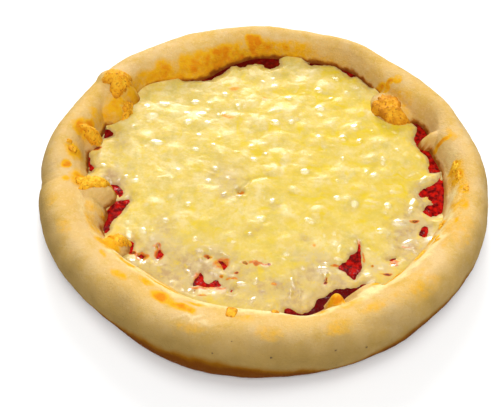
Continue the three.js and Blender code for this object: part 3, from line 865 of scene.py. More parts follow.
# %% Folds and patches
# Long slack folds in the blanket: x and y of both ends, width and depth.
FOLDS = [
    (-14, -13, -9, -5, 1.3, 0.9),
    (-9, -5, 2, -1, 1.2, 0.5),
    (2, -1, 20, 1, 1.5, 0.1),
    (-14, -15, -36, -30, 2.2, 0.3),
]


def fold_depth(points):
    """How deep the folds are at each point."""
    depth = np.zeros(points.shape[:-1])
    wavy = points[..., :2] + 1.2 * cloud(points, 6, seed=61)[..., None]
    for x0, y0, x1, y1, wide, deep in FOLDS:
        depth = np.maximum(depth, deep * np.exp(-((off_line(wavy, x0, y0, x1, y1) / wide) ** 2)))
    return depth


def patches(points, spots, seed, wander=2, size=6, crisp=1):
    """A value from 0 to 1 over ovals, crisp or soft at the edge, whose outlines wander by some millimetres."""
    flat = points[..., :2] + wander * drift(points, size, (seed, seed + 1))
    total = np.zeros(points.shape[:-1])
    for x, y, long, wide, strength in spots:
        off = (flat - (x, y)) / (long, wide)
        total = np.maximum(total, strength * np.exp(-(np.sum(off**2, axis=-1) ** crisp)))
    return total


print(len(FOLDS), "folds")

# %% The relief of the cheese
CHEESE_RINGS = 168
CHEESE_TUCK = 2


def cheese_reach(angle):
    """How far out the cheese runs, a little way into the wall."""
    return wall_foot(angle) + CHEESE_TUCK


cheese_top = disc_rings(CHEESE_RINGS, cheese_reach)
flat_points = np.concatenate(cheese_top)
edge_distance, fullness = from_edge(flat_points)
warped = flat_points + 1.3 * drift(flat_points, 7, (71, 72, 73))
large = heap_height(warped, mounds, 0.5, power=1.4)
firm = 0.8 * heap_height(warped, FIRM_LUMPS + pearls, 0.3, power=2)
coarse = cushions(warped, 13, seed=91)
fine = cushions(warped, 6.5, seed=92)
small = heap_height(warped, small_lumps, 0.4, power=2)
shred = heap_height(warped, shreds, 0.4, power=2)
pools = patches(flat_points, OIL_POOLS, 77)
relief = soft_max(0.5 * large, firm, 0.4) + 0.22 * coarse + 0.1 * fine + 0.6 * small + 0.3 * shred
relief = relief - fold_depth(flat_points) - 0.25 * pools + 0.04 * clouds(flat_points, 3.2, seed=75)
print("cheese relief in mm:", round(float(relief.min()), 2), "to", round(float(relief.max()), 2))

# %% The thickness of the cheese
FILM = 0.45  # how thick the cheese is at a torn edge
LIP_SUNK = 0.7  # how far the skin dips under the sauce in a gap
FREE_ABOVE = 13  # nothing stands higher, so that the space inside the rim stays free
# Where the blanket is thin and its small ridges show: x, y, half length, half width and strength.
THIN_FRONT = [(-45, -72, 42, 20, 0.9), (20, -82, 60, 18, 0.9), (50, -62, 22, 20, 0.9), (88, -45, 16, 28, 0.9)]
THIN_FRONT += [(98, -8, 12, 20, 0.85), (-92, -28, 14, 24, 0.7)]
slack = 1 - patches(flat_points, THIN_FRONT, 87)
ridge = heap_height(warped, ridges, 0.3, power=2)
relief = relief + ridge * smoothstep(1 - slack, 0.3, 0.8)
body = (CHEESE_THICKNESS - FILM) * (0.12 + 0.88 * slack) + relief * (0.9 + 0.1 * slack)
thick = FILM + body * fullness
lip = np.clip((edge_distance + 0.6) / 1.4, 0, 1)
rounded = np.sqrt(1 - (1 - lip) ** 2)
top_height = sauce_height(flat_points) - LIP_SUNK + (thick + LIP_SUNK) * rounded
top_height = np.minimum(top_height, FREE_ABOVE)
print("the cheese's top is", round(float(top_height.max()), 2), "mm high at most")

# %% [markdown]
# ### Where the cheese is thin, milky, stained or toasted
#
# Melted cheese is clearest where it is thin, so the sauce tints it there. It turns milky where water stays in
# it, fat pools yellow in its creases, and sauce comes through in orange and red spots. One way would be a
# painted picture. A few ovals with wandering outlines do the same, and they can be read and changed.

# %% Thin, milky and stained places
# Where the cheese is so thin that the sauce tints it: x, y, half length, half width and strength.
THIN_PATCHES = [
    (-45, -74, 44, 17, 0.75), (20, -86, 60, 13, 0.75), (36, -70, 16, 9, 0.6), (88, -45, 14, 26, 0.7),
    (99, -14, 8, 16, 0.8), (-58, -42, 8, 8, 0.6), (-6, -46, 12, 5, 0.4), (-22, -4, 14, 16, 0.5),
    (-24, -16, 7, 4, 0.5), (6, -26, 5, 4, 0.5), (25, -50, 6, 3, 0.5), (-92, 24, 6, 12, 0.5),
    (-96, -6, 6, 6, 0.7),
]
# Where the blanket has gone milky, as above.
VEILED = [
    (38, -76, 16, 9, 1), (66, -68, 9, 9, 0.9), (-30, -75, 17, 20, 1), (-62, -58, 14, 14, 0.9),
    (97, -42, 12, 22, 0.9), (30, -64, 14, 5, 0.8), (-92, -10, 9, 16, 0.9), (-22, -6, 13, 14, 0.4),
    (20, -92, 18, 5, 0.7),
]
# Spots where sauce has come through, as above: up to 0.5 they are orange, and from there on dark red.
STAINS = [
    (-3, -67.5, 4, 1.5, 0.5), (1, -67.8, 5, 0.9, 0.4), (4.5, -68, 1.5, 1, 0.75),
    (-9.5, -67.5, 1.8, 1.2, 1.0), (-14.5, -74.5, 1.6, 1, 0.75), (-22.5, -77, 1.6, 1, 0.6),
    (-16.5, -79, 4, 1, 0.45), (7, -81, 2, 1.4, 0.4), (64, -67, 0.9, 1.4, 0.65), (71.5, -72, 3, 1, 0.7),
    (77.5, -63.5, 3, 3, 0.5), (91.5, -32.5, 3.2, 1.4, 0.75), (-108, 18, 3, 1.8, 0.8),
    (-114, 21, 4, 2.4, 0.7), (-110, 23, 5, 4, 0.35), (-75.5, -62, 2.4, 2.2, 0.9), (-61, -57.5, 2.4, 2, 0.6),
    (-60, -62.5, 3.4, 3.8, 0.6), (-70, -64.5, 4, 2.8, 0.6), (-72.5, -63, 4, 1.4, 0.45),
    (-32.5, -91, 3, 1, 0.4), (-33, -84.8, 7, 1.4, 0.5), (-23, -85, 3, 1.4, 0.5), (-23, -68, 5, 4, 0.5),
    (-31, -63.2, 2.8, 1.6, 0.6), (-36, -78, 3, 4, 0.45), (57.5, -50, 1, 3, 0.5), (59.5, -60, 0.8, 5, 0.42),
    (43, -66.5, 3, 1, 0.5), (36.8, -77.5, 0.9, 2.2, 1.1), (85, -51.5, 4, 0.8, 0.35),
    (-14, -14, 2.2, 1.6, 0.4),
]
# Where it has toasted, as above.
TOASTED = [(-25, 52, 5, 2, 1), (0, 70, 3, 2, 1), (30, -52, 1.5, 1.2, 1), (-22, 78, 4, 1.5, 1)]
print(len(THIN_PATCHES), "thin,", len(VEILED), "milky,", len(STAINS), "stained and", len(TOASTED), "toasted")

# %% The cheese's marks
# painted shade: the hollows between the mounds take the oily yellow, partly for fat gathered there and partly
# for the shade that falls in them
hollow_shade = 1 - smoothstep(0.5 * large + 0.5 * small + firm, 0.2, 0.8)
rich = smoothstep(cloud(flat_points, 26, seed=81) + flat_points[:, 0] / 140, -0.8, 0.9)
crease = smoothstep(1 - coarse, 0.55, 0.95) + 0.7 * smoothstep(1 - fine, 0.7, 0.97)
crease = crease * smoothstep(cloud(flat_points, 12, seed=82), -0.4, 0.4)
spots = smoothstep(cloud(warped, 5.5, seed=93) + 0.4 * cloud(warped, 2.6, seed=94), 0.35, 0.75)
oil_and_hollow_shade = np.maximum(0.6 * hollow_shade * (0.25 + 0.6 * rich), pools)
oil_and_hollow_shade = np.maximum(oil_and_hollow_shade, np.maximum(0.9 * crease, 0.8 * spots) * (0.35 + 0.65 * rich)) * fullness
oil_and_hollow_shade = oil_and_hollow_shade * (0.6 + 0.4 * slack)
thin_and_lip_shade = patches(flat_points, THIN_PATCHES, 83)
# painted shade: within about 3 mm of every torn edge the thin colour darkens the lip, for the shade on its
# rounded edge
thin_and_lip_shade = np.maximum(thin_and_lip_shade, 0.8 * (1 - smoothstep(edge_distance, 0.2, 3)))
veil = patches(flat_points, VEILED, 96, wander=4)
stain = 1.2 * patches(flat_points, STAINS, 89, wander=1.1, size=2.4, crisp=2)
toasted = patches(flat_points, TOASTED, 85)
# painted highlight: the tops of firm lumps and the front's ridges are marked to be painted paler, and the same
# mark makes their coat strong
pale = np.maximum(smoothstep(firm, 0.1, 0.8), 3 * ridge * smoothstep(1 - slack, 0.3, 0.8))
print("fat shows on", round(float((oil_and_hollow_shade > 0.5).mean()) * 100), "percent of the cheese's points")

# %% The cheese's skin
UNDER_RINGS = 16
UNDER_SUNK = 1  # how far the underside lies under the sauce's top
ring_starts = np.cumsum([0] + [len(ring) for ring in cheese_top])
spans = list(zip(ring_starts[:-1], ring_starts[1:]))
cheese_skin = [with_height(ring, top_height[a:b]) for ring, (a, b) in zip(cheese_top, spans)]
under_rings = disc_rings(UNDER_RINGS, cheese_reach)[:-1]
under_rings = [with_height(ring, sauce_height(ring) - UNDER_SUNK) for ring in under_rings]
under_count = sum(len(ring) for ring in under_rings)


def in_skin_order(values):
    """Values of the top's rings, put into the order of the whole skin."""
    return np.concatenate([np.zeros(under_count)] + [values[a:b] for a, b in spans][::-1])


cheese_marks = {"oil_and_hollow_shade": oil_and_hollow_shade, "thin_and_lip_shade": thin_and_lip_shade, "veil": veil, "stain": stain, "toasted": toasted, "pale": pale}
cheese = make_piece(
    "fine_cheese",
    under_rings + cheese_skin[::-1],
    {name: in_skin_order(values) for name, values in cheese_marks.items()},
    ["cheese"],
)

# %% [markdown]
# ## Scraps and crumbs on the rim
#
# Cheese that fell on the rim has no sauce under it, so it dries, browns and turns crumbly. A scrap could be
# modelled alone and sunk into the dough, but then its edge would stand off or vanish. Here each scrap is
# dropped onto the dough: a line is followed down from every point of a small ragged disc until it meets the
# crust, and the scrap's skin is laid a little above and below that place. That way it follows every swelling.

# %% Down to the crust
def dropped(start, down):
    """Where a line from a point meets the crust, in millimetres."""
    origin = Vector((start - middle) * MM)
    hit = crust_tree.ray_cast(origin, Vector(down))[0]
    return start if hit is None else np.array(hit) / MM + middle


landing = dropped(polar(0, 125, 2 * RIM_HEIGHT), (0, 0, -1))
print("125 mm out at the right, the crust is", round(float(landing[2]), 1), "mm high")

# %% Heaps that lie on the crust
EDGE_SUNK = 0.1  # how far a heap's edge lies in the crust
BOTTOM_SUNK = 0.3  # how far its underside does


def heap_on_crust(start, normal, along, half_sizes, thick, count, seed, wavy=1.0):
    """The rings of a crumbly heap that follows the crust, and how brown each of its points is."""
    over = np.cross(normal, along)
    rings = disc_rings(count, lambda turns: np.ones_like(turns))
    disc = np.concatenate(rings)
    share = np.hypot(disc[:, 0], disc[:, 1])
    turn = np.arctan2(disc[:, 1], disc[:, 0])
    ragged = 0.12 * np.sin(3 * turn + seed) + 0.08 * np.sin(5 * turn + 2 * seed)
    ragged = ragged + 0.2 * clouds(polar(np.degrees(turn), 3, seed), 0.9, seed=seed)
    corners = (np.cos(turn) ** 4 + np.sin(turn) ** 4) ** -0.25
    reach = corners ** (1.2 - wavy) * (1 + wavy * ragged)
    spots = disc * [half_sizes[0], half_sizes[1], 0] * reach[:, None]
    crumbly = 0.35 * clouds(spots, 3, seed=seed) + 0.3 * np.abs(cloud(spots, 1.3, seed + 5))
    height = thick * np.sqrt(np.maximum(1 - share**3, 0)) * (0.75 + crumbly)
    height = height + (GAP + 0.2) * (1 - share**6) - EDGE_SUNK
    places = np.array([dropped(start + along * u + over * v, -normal) for u, v, _ in spots])
    top = places + normal * height[:, None]
    bottom = places - normal * BOTTOM_SUNK
    sizes = np.cumsum([len(ring) for ring in rings])[:-1]
    brown = np.split(0.35 + 0.5 * crumbly + 0.25 * share**3, sizes)
    skin = np.split(bottom, sizes) + np.split(top, sizes)[::-1]
    return skin, np.concatenate([np.full(len(bottom), 0.5)] + brown[::-1])


print("a heap's edge lies", EDGE_SUNK, "mm in the crust and its underside", BOTTOM_SUNK, "mm")

# %% Baked cheese on the rim
# Each scrap is for a solid: angle, distance out, lean inwards, half length along the rim, half width across it,
# thickness and how far it has browned. They follow the finer dough and reach further down its slopes, so their
# middles are 3 to 9 mm from those of the solids.
SCRAPS = {
    "scrap_back_left": (146, 124, 12, 9, 9.5, 2.0, 0.2),
    "scrap_left_wall": (150.5, 112, 40, 8.5, 7, 1.8, 0.25),
    "scrap_left_upper": (168, 119.5, 20, 5, 7.5, 2.2, 0.15),
    "scrap_left": (190, 108, 8, 6.5, 10.5, 2.4, -0.05),
    "scrap_front_left": (214.5, 105.3, 25, 5.5, 7.3, 2, 0.1),
    "scrap_back_right": (35.6, 106.3, 15, 14, 9.3, 2.8, 0.36),
}
SCRAP_RINGS = 22
scraps = []
for seed, (name, (at, out, lean, long, wide, thick, toast)) in enumerate(SCRAPS.items(), start=100):
    tilt = math.radians(lean)
    normal = polar(at + 180, math.sin(tilt), math.cos(tilt))
    start = polar(at, out, 0) + normal * 2 * RIM_HEIGHT
    along = polar(at + 90, 1, 0)
    rings, brown = heap_on_crust(start, normal, along, (long, wide), thick, SCRAP_RINGS, seed)
    scraps.append(make_piece("fine_" + name, rings, {"brown": brown + toast}, [name]))

# %% [markdown]
# ### Crumbs and herb flakes
#
# A few shreds of cheese landed on the rim one by one and baked into thin crumbs, and some dried herb blew onto
# it. Both are made as the scraps are, only smaller, so that they lie on the crust as real ones do.

# %% Crumbs of cheese on the rim
# Angle, share of the way round the rim's section, half length over the rim, half width along it, how toasted,
# how thick and how ragged.
CRUMBS = [
    (262, 0.74, 5.5, 3, 0.25, 0.7, 0.35),
    (177.6, 0.75, 3, 2.2, 0.3, 0.7, 0.35),
    (175.4, 0.71, 1.8, 1.5, 0.1, 0.7, 0.35),
    (274, 0.8, 2.4, 2.2, 0.2, 0.7, 0.35),
    (341.5, 0.9, 3.4, 3.8, -0.1, 0.3, 1.6),
    (334, 0.83, 1.8, 2.2, 0, 0.2, 1.6),
    (327, 0.9, 1.6, 5, -0.1, 0.2, 1.6),
    (2, 0.8, 2.6, 4, -0.15, 0.15, 1.8),
    (357.8, 0.77, 1.8, 3.6, 0.1, 0.2, 1.8),
    (352, 0.7, 1.6, 2.4, 0.1, 0.05, 1.8),
]
CRUMB_RINGS = 12
DROP = 6  # how far over the dough a crumb starts
for seed, (at, share, long, wide, toast, thick, ragged) in enumerate(CRUMBS, start=120):
    normal = rim_normal(np.array([at]), share)[0]
    start = rim_point(np.array([at]), share)[0] + normal * DROP
    along = polar(at + 90, 1, 0)
    rings, brown = heap_on_crust(start, normal, along, (wide, long), thick, CRUMB_RINGS, seed, ragged)
    scraps.append(make_piece("crumb_%d" % at, rings, {"brown": brown + toast}))

# %% Herb flakes on the crust
# Tiny dark flakes of dried herb that have stuck to the dough: angle, distance out and half length.
HERB_FLAKES = [
    (259.7, 132.2, 0.55),
    (272.4, 131.5, 0.75),
    (286.7, 131.5, 0.6),
    (294, 135, 0.6),
    (263.5, 123.7, 0.4),
]
FLAKE_RINGS = 4
FLAKE_THICKNESS = 0.25
FLAKE_SHAPE = 0.6  # its width for its length
FLAKE_HEIGHT = 13  # about the height of the flank where the flakes lie
flakes = []
for seed, (at, out, long) in enumerate(HERB_FLAKES, start=140):
    start = polar(at, out + 12, 36)
    off = start - polar(at, out, FLAKE_HEIGHT)
    normal = off / np.linalg.norm(off)
    size = (long, FLAKE_SHAPE * long)
    along = polar(at + 90, 1, 0)
    rings, brown = heap_on_crust(start, normal, along, size, FLAKE_THICKNESS, FLAKE_RINGS, seed)
    flakes.append(make_piece("herb_flake_%d" % at, rings, {"brown": brown}))

# %% [markdown]
# ## Floor, light and camera
#
# A pale floor and soft light from above and behind show food well: the light skims over the lumps and glints on
# what is wet. A weaker lamp in front lights the side of the far rim that faces the camera, and leaves the near
# side in a gentle shade.

# %% The floor
FLOOR_HALF = 4.0  # metres
FLOOR_DROP = 0.0004  # keeps the floor clear of the pizza's underside
floor_mesh = bpy.data.meshes.new("floor")
corners = [(x * FLOOR_HALF, y * FLOOR_HALF, 0) for x, y in ((-1, -1), (1, -1), (1, 1), (-1, 1))]
floor_mesh.from_pydata(corners, [], [(0, 1, 2, 3)])
floor = bpy.data.objects.new("floor", floor_mesh)
bpy.context.scene.collection.objects.link(floor)
floor.location.z = -FLOOR_DROP
print("a floor of", 2 * FLOOR_HALF, "m square")

# %% The lights
scene = bpy.context.scene
world = bpy.data.worlds.new("studio")
scene.world = world
world.use_nodes = True
sky = world.node_tree.nodes["Background"]
sky.inputs["Color"].default_value = (1, 0.985, 0.95, 1)
sky.inputs["Strength"].default_value = 0.22


def soft_light(name, place, size, watts):
    """An area light that points at the middle of the pizza. Its place and size are in metres."""
    data = bpy.data.lights.new(name, "AREA")
    data.shape = "RECTANGLE"
    data.size, data.size_y = size
    data.energy = watts
    lamp = bpy.data.objects.new(name, data)
    scene.collection.objects.link(lamp)
    lamp.location = place
    lamp.rotation_euler = (-Vector(place)).to_track_quat("-Z", "Y").to_euler()
    print(name, watts, "W")


soft_light("back_window", (-0.3, 4.4, 2.0), (1.9, 1.5), 200)
soft_light("top_panel", (0.1, 0.4, 2.4), (1.6, 1.6), 24)
soft_light("front_fill", (0, -1.7, 2.6), (1.6, 1.6), 60)

# %% The camera
ELEVATION = 50.48
ROLL = -2.07
DISTANCE = 500
FOCAL_SHARE = 818.1 / 500  # the focal length as a share of the picture's width
AIM = np.array([-8, -24.2, 10])

rise, roll = math.radians(ELEVATION), math.radians(ROLL)
back = np.array([0, -math.cos(rise), math.sin(rise)])
level = np.array([1.0, 0, 0])
upward = np.cross(back, level)
right = math.cos(roll) * level - math.sin(roll) * upward
up = math.sin(roll) * level + math.cos(roll) * upward
camera_data = bpy.data.cameras.new("camera")
camera_data.sensor_width = 36
camera_data.lens = FOCAL_SHARE * camera_data.sensor_width
camera_data.clip_start = 0.01
camera = bpy.data.objects.new("camera", camera_data)
scene.collection.objects.link(camera)
pose = Matrix((right, up, back)).transposed().to_4x4()
pose.translation = Vector((AIM - middle + back * DISTANCE) * MM)
camera.matrix_world = pose
scene.camera = camera
scene.view_settings.view_transform = "Standard"
print("a lens of", round(camera_data.lens, 1), "mm")

# %% [markdown]
# ## Finishes
#
# Food is never one colour. Each finish mixes a few colours by the values that were kept on the mesh and by
# noise in the shader, so that no edge of a patch is clean.

# %% Node helpers
def shader_node(tree, kind, values=None, **settings):
    """Adds a node, sets its settings and its sockets, and links the sockets that are given as outputs."""
    node = tree.nodes.new(kind)
    for setting, value in settings.items():
        setattr(node, setting, value)
    for socket, value in (values or {}).items():
        if isinstance(value, bpy.types.NodeSocket):
            tree.links.new(value, node.inputs[socket])
        else:
            node.inputs[socket].default_value = value
    return node


def reckon(tree, operation, a, b, clamp=False):
    """The result of a sum, difference or product."""
    node = shader_node(tree, "ShaderNodeMath", {0: a, 1: b}, operation=operation, use_clamp=clamp)
    return node.outputs[0]


def noise_value(tree, scale, detail=3.0, roughness=0.5):
    """Noise from 0 to 1 that stays with the piece."""
    where = shader_node(tree, "ShaderNodeTexCoord")
    values = {"Vector": where.outputs["Object"], "Scale": scale, "Detail": detail, "Roughness": roughness}
    return shader_node(tree, "ShaderNodeTexNoise", values).outputs["Fac"]


def ranged(tree, value, low, high, to_low=0.0, to_high=1.0):
    """A value, carried from one range to another and held at its ends."""
    values = {"Value": value, "From Min": low, "From Max": high, "To Min": to_low, "To Max": to_high}
    return shader_node(tree, "ShaderNodeMapRange", values).outputs[0]


print("helpers: shader_node, reckon, noise_value and ranged")


# %% Named groups
def new_group(name, inputs, outputs):
    """A shader node group with named sockets, given as (name, kind, default)."""
    group = bpy.data.node_groups.new(name, "ShaderNodeTree")
    for socket, kind, default in inputs:
        made = group.interface.new_socket(socket, in_out="INPUT", socket_type=kind)
        made.default_value = default
    for socket, kind in outputs:
        group.interface.new_socket(socket, in_out="OUTPUT", socket_type=kind)
    return group, group.nodes.new("NodeGroupInput"), group.nodes.new("NodeGroupOutput")


print("helper: new_group")

# %% [markdown]
# ### A tint that breaks up
#
# Sauce, cheese and dough all change colour in blotches. A plain mix would leave smooth edges, which look
# painted. This group lays one colour over another by a mask whose edge is broken up with noise.

# %% The blotch group
tint_group, tint_in, tint_out = new_group(
    "broken_tint",
    [
        ("Under", "NodeSocketColor", (1, 1, 1, 1)),
        ("Over", "NodeSocketColor", (0, 0, 0, 1)),
        ("Mask", "NodeSocketFloat", 0.0),
        ("Scale", "NodeSocketFloat", 400.0),
        ("Break", "NodeSocketFloat", 0.4),
    ],
    [("Color", "NodeSocketColor")],
)
noise = noise_value(tint_group, tint_in.outputs["Scale"])
ragged = reckon(tint_group, "MULTIPLY", reckon(tint_group, "SUBTRACT", noise, 0.5), tint_in.outputs["Break"])
near_full = reckon(tint_group, "MULTIPLY", tint_in.outputs["Mask"], 4.0, clamp=True)
held = reckon(tint_group, "MULTIPLY", ragged, near_full)  # no blotch where the mask is nothing
broken = reckon(tint_group, "ADD", tint_in.outputs["Mask"], held, clamp=True)
mixed = shader_node(
    tint_group,
    "ShaderNodeMix",
    {"Factor": broken, "A": tint_in.outputs["Under"], "B": tint_in.outputs["Over"]},
    data_type="RGBA",
)
tint_group.links.new(mixed.outputs["Result"], tint_out.inputs["Color"])
print("group", tint_group.name, "has", len(tint_group.nodes), "nodes")

# %% [markdown]
# ### Grain
#
# Baked flour has a fine, dry grain with a few darker specks, and crumbly cheese has a coarser one. This group
# gives the height of the grain for a bump and a mask of its specks.

# %% The grain group
grain_group, grain_in, grain_out = new_group(
    "baked_grain",
    [("Size", "NodeSocketFloat", 900.0), ("Specks", "NodeSocketFloat", 0.3)],
    [("Height", "NodeSocketFloat"), ("Specks", "NodeSocketFloat")],
)
fine = noise_value(grain_group, grain_in.outputs["Size"], 4.0, 0.65)
where = shader_node(grain_group, "ShaderNodeTexCoord")
cells = shader_node(
    grain_group,
    "ShaderNodeTexVoronoi",
    {"Vector": where.outputs["Object"], "Scale": grain_in.outputs["Size"]},
)
pits = ranged(grain_group, cells.outputs["Distance"], 0.0, 0.35, 1.0, 0.0)
speck = reckon(grain_group, "MULTIPLY", pits, ranged(grain_group, fine, 0.56, 0.7))
strong = reckon(grain_group, "MULTIPLY", speck, grain_in.outputs["Specks"])
grain_group.links.new(fine, grain_out.inputs["Height"])
grain_group.links.new(strong, grain_out.inputs["Specks"])
print("group", grain_group.name, "has", len(grain_group.nodes), "nodes")

# %% Material helpers
def new_material(name):
    """A new material, its tree and its shader."""
    material = bpy.data.materials.new(name)
    material.use_nodes = True
    tree = material.node_tree
    return material, tree, tree.nodes["Principled BSDF"]


def mark(tree, name):
    """A value that was kept on the mesh."""
    return shader_node(tree, "ShaderNodeAttribute", attribute_name=name).outputs["Fac"]


def tint(tree, under, over, mask, scale=400.0, break_up=0.4):
    """Lays a colour over another with the blotch group."""
    values = {"Under": under, "Over": over, "Mask": mask, "Scale": scale, "Break": break_up}
    return shader_node(tree, "ShaderNodeGroup", values, node_tree=tint_group).outputs["Color"]


def bump(tree, height, strength, distance, under=None):
    """Turns a height into a normal, over another normal if one is given."""
    values = {"Height": height, "Strength": strength, "Distance": distance}
    if under is not None:
        values["Normal"] = under
    return shader_node(tree, "ShaderNodeBump", values).outputs["Normal"]


def wear(piece, material):
    """Gives a piece one material."""
    piece.data.materials.clear()
    piece.data.materials.append(material)


print("helpers: new_material, mark, tint, bump and wear")

# %% [markdown]
# ### The dough's finish
#
# Baked dough is matt, pale where it is thick, and golden to brown where it met dry heat. Flour stays on it as a
# paler dust. A single scanned colour would look flat from close by, so a pale base takes on warm, golden and
# floury blotches first, and then the places that were kept on the mesh. Some of those places are painted shade
# and highlight: the outer flank, most of all on the near side, the low edge and the foot of the inner wall are
# darkened for the shade there, and a pale strip along the inner edge is a painted highlight. A little light
# passes into the skin.

# %% The dough's finish
PALE_DOUGH = (0.72, 0.50, 0.225, 1)
WARM_DOUGH = (0.70, 0.44, 0.12, 1)
TAN_AND_SHADE_DOUGH = (0.30, 0.192, 0.056, 1)
GOLDEN_DOUGH = (0.64, 0.39, 0.07, 1)
FLOURY_DOUGH = (0.82, 0.63, 0.33, 1)
EDGE_HIGHLIGHT_DOUGH = (0.88, 0.74, 0.36, 1)
GOLDEN_CRUST = (0.78, 0.40, 0.01, 1)
ORANGE_CRUST = (0.70, 0.22, 0.004, 1)
GOLDEN_EDGE_AND_SHADE = (0.25, 0.095, 0.001, 1)
BROWN_EDGE_AND_SHADE_COLOUR = (0.15, 0.04, 0.001, 1)
STAINED = (0.42, 0.13, 0.004, 1)
DEEP_STAIN_AND_SHADE = (0.14, 0.02, 0.002, 1)
dough_material, tree, shader = new_material("baked_dough")
slow = ranged(tree, noise_value(tree, 34.0, 4.0, 0.6), 0.36, 0.66)
colour = tint(tree, PALE_DOUGH, WARM_DOUGH, slow, 120.0, 0.5)
mottled = ranged(tree, noise_value(tree, 95.0, 5.0, 0.6), 0.46, 0.68, 0.0, 0.8)
colour = tint(tree, colour, GOLDEN_DOUGH, mottled, 300.0, 0.3)
floury = ranged(tree, noise_value(tree, 560.0, 4.0, 0.7), 0.52, 0.75, 0.0, 0.5)
colour = tint(tree, colour, FLOURY_DOUGH, floury, 300.0, 0.2)
# painted shade: the outer flank's tan, strongest on the near side, also darkens the dough for the shade that
# falls there
colour = tint(tree, colour, TAN_AND_SHADE_DOUGH, ranged(tree, mark(tree, "flank_tan_and_shade"), 0.0, 1.0), 90.0, 0.4)
# the wrinkles are painted paler, partly floury dust and partly a painted highlight
colour = tint(tree, colour, FLOURY_DOUGH, ranged(tree, mark(tree, "wrinkled"), 0.3, 0.9, 0.0, 0.7), 500.0, 0.5)
# painted highlight: a pale strip along the inner edge of the rim
colour = tint(tree, colour, EDGE_HIGHLIGHT_DOUGH, ranged(tree, mark(tree, "edge_highlight"), 0.1, 0.8, 0.0, 0.8), 350.0, 0.8)
gold = mark(tree, "browning")
colour = tint(tree, colour, GOLDEN_CRUST, ranged(tree, gold, 0.08, 0.65), 400.0, 0.9)
colour = tint(tree, colour, ORANGE_CRUST, ranged(tree, gold, 0.7, 1.25, 0.0, 0.9), 420.0, 0.6)
low = mark(tree, "low_edge_brown_and_shade")
# browning and painted shade: the low edge is darkened for the stone's browning and for the shade low on the rim
colour = tint(tree, colour, GOLDEN_EDGE_AND_SHADE, ranged(tree, low, 0.05, 0.6), 110.0, 0.5)
colour = tint(tree, colour, BROWN_EDGE_AND_SHADE_COLOUR, ranged(tree, low, 0.5, 1.0), 160.0, 0.3)
sauce_stain_and_shade = mark(tree, "sauce_stain_and_shade")
colour = tint(tree, colour, STAINED, ranged(tree, sauce_stain_and_shade, 0.1, 0.7, 0.0, 0.9), 300.0, 0.5)
# painted shade: the darkest band at the wall's foot stands for the shade where wall and sauce meet, over the
# sauce's stain
colour = tint(tree, colour, DEEP_STAIN_AND_SHADE, ranged(tree, sauce_stain_and_shade, 0.6, 1.0, 0.0, 0.8), 300.0, 0.5)
grain = shader_node(tree, "ShaderNodeGroup", {"Size": 850.0, "Specks": 0.35}, node_tree=grain_group)
colour = tint(tree, colour, GOLDEN_CRUST, grain.outputs["Specks"], 300.0, 0.0)
tree.links.new(colour, shader.inputs["Base Color"])
tree.links.new(ranged(tree, gold, 0.1, 1.0, 0.85, 0.6), shader.inputs["Roughness"])
tree.links.new(bump(tree, grain.outputs["Height"], 1.0, 0.0007), shader.inputs["Normal"])
shader.inputs["Specular IOR Level"].default_value = 0.05
shader.inputs["Subsurface Weight"].default_value = 0.12
shader.inputs["Subsurface Radius"].default_value = (0.9, 0.55, 0.25)
shader.inputs["Subsurface Scale"].default_value = 0.004
wear(crust, dough_material)
print("the dough's finish has", len(tree.nodes), "nodes")

# %% [markdown]
# ### The sauce's finish
#
# Cooked tomato is a deep red with darker pulp in it, and it is wet. The colour comes from two reds and a dried
# one. The wet look comes from a clear coat that is there in spots only, as water stands between the pulp. A
# coat all over would mirror the lamps and turn the red pink.

# %% The sauce's finish
BRIGHT_SAUCE = (0.46, 0.006, 0.002, 1)
DEEP_SAUCE = (0.10, 0.001, 0.001, 1)
DRIED_SAUCE = (0.075, 0.001, 0.001, 1)
sauce_material, tree, shader = new_material("tomato_sauce")
pulp = ranged(tree, noise_value(tree, 330.0, 3.0, 0.55), 0.38, 0.62)
colour = tint(tree, BRIGHT_SAUCE, DEEP_SAUCE, pulp, 600.0, 0.5)
colour = tint(tree, colour, DRIED_SAUCE, ranged(tree, mark(tree, "dried"), 0.2, 0.9, 0.0, 0.95), 350.0, 0.5)
tree.links.new(colour, shader.inputs["Base Color"])
shader.inputs["Roughness"].default_value = 0.12
shader.inputs["Specular IOR Level"].default_value = 0.05
wet_spots = ranged(tree, noise_value(tree, 800.0, 2.0, 0.5), 0.57, 0.65, 0.0, 0.8)
tree.links.new(wet_spots, shader.inputs["Coat Weight"])
shader.inputs["Coat Roughness"].default_value = 0.06
pulpy = bump(tree, noise_value(tree, 560.0, 3.0, 0.6), 0.4, 0.0006)
wet_skin = bump(tree, noise_value(tree, 1300.0, 2.0, 0.5), 0.5, 0.0003, pulpy)
tree.links.new(wet_skin, shader.inputs["Normal"])
wear(sauce, sauce_material)
print("the sauce's finish has", len(tree.nodes), "nodes")

# %% [markdown]
# ### The cheese's finish
#
# Melted mozzarella is cream to pale yellow, lets some light in, and has a greasy skin that glints on firm
# lumps. Its yellow comes from fat in the hollows, and there it is also a painted shade. So the base is two
# creams, the marks lay thin, milky, oily and stained colours over it, and a coat that is strong on the firm
# lumps gives the glints. A paler colour on the firm lumps is a painted highlight, and the thin colour along
# every torn edge is partly painted shade.

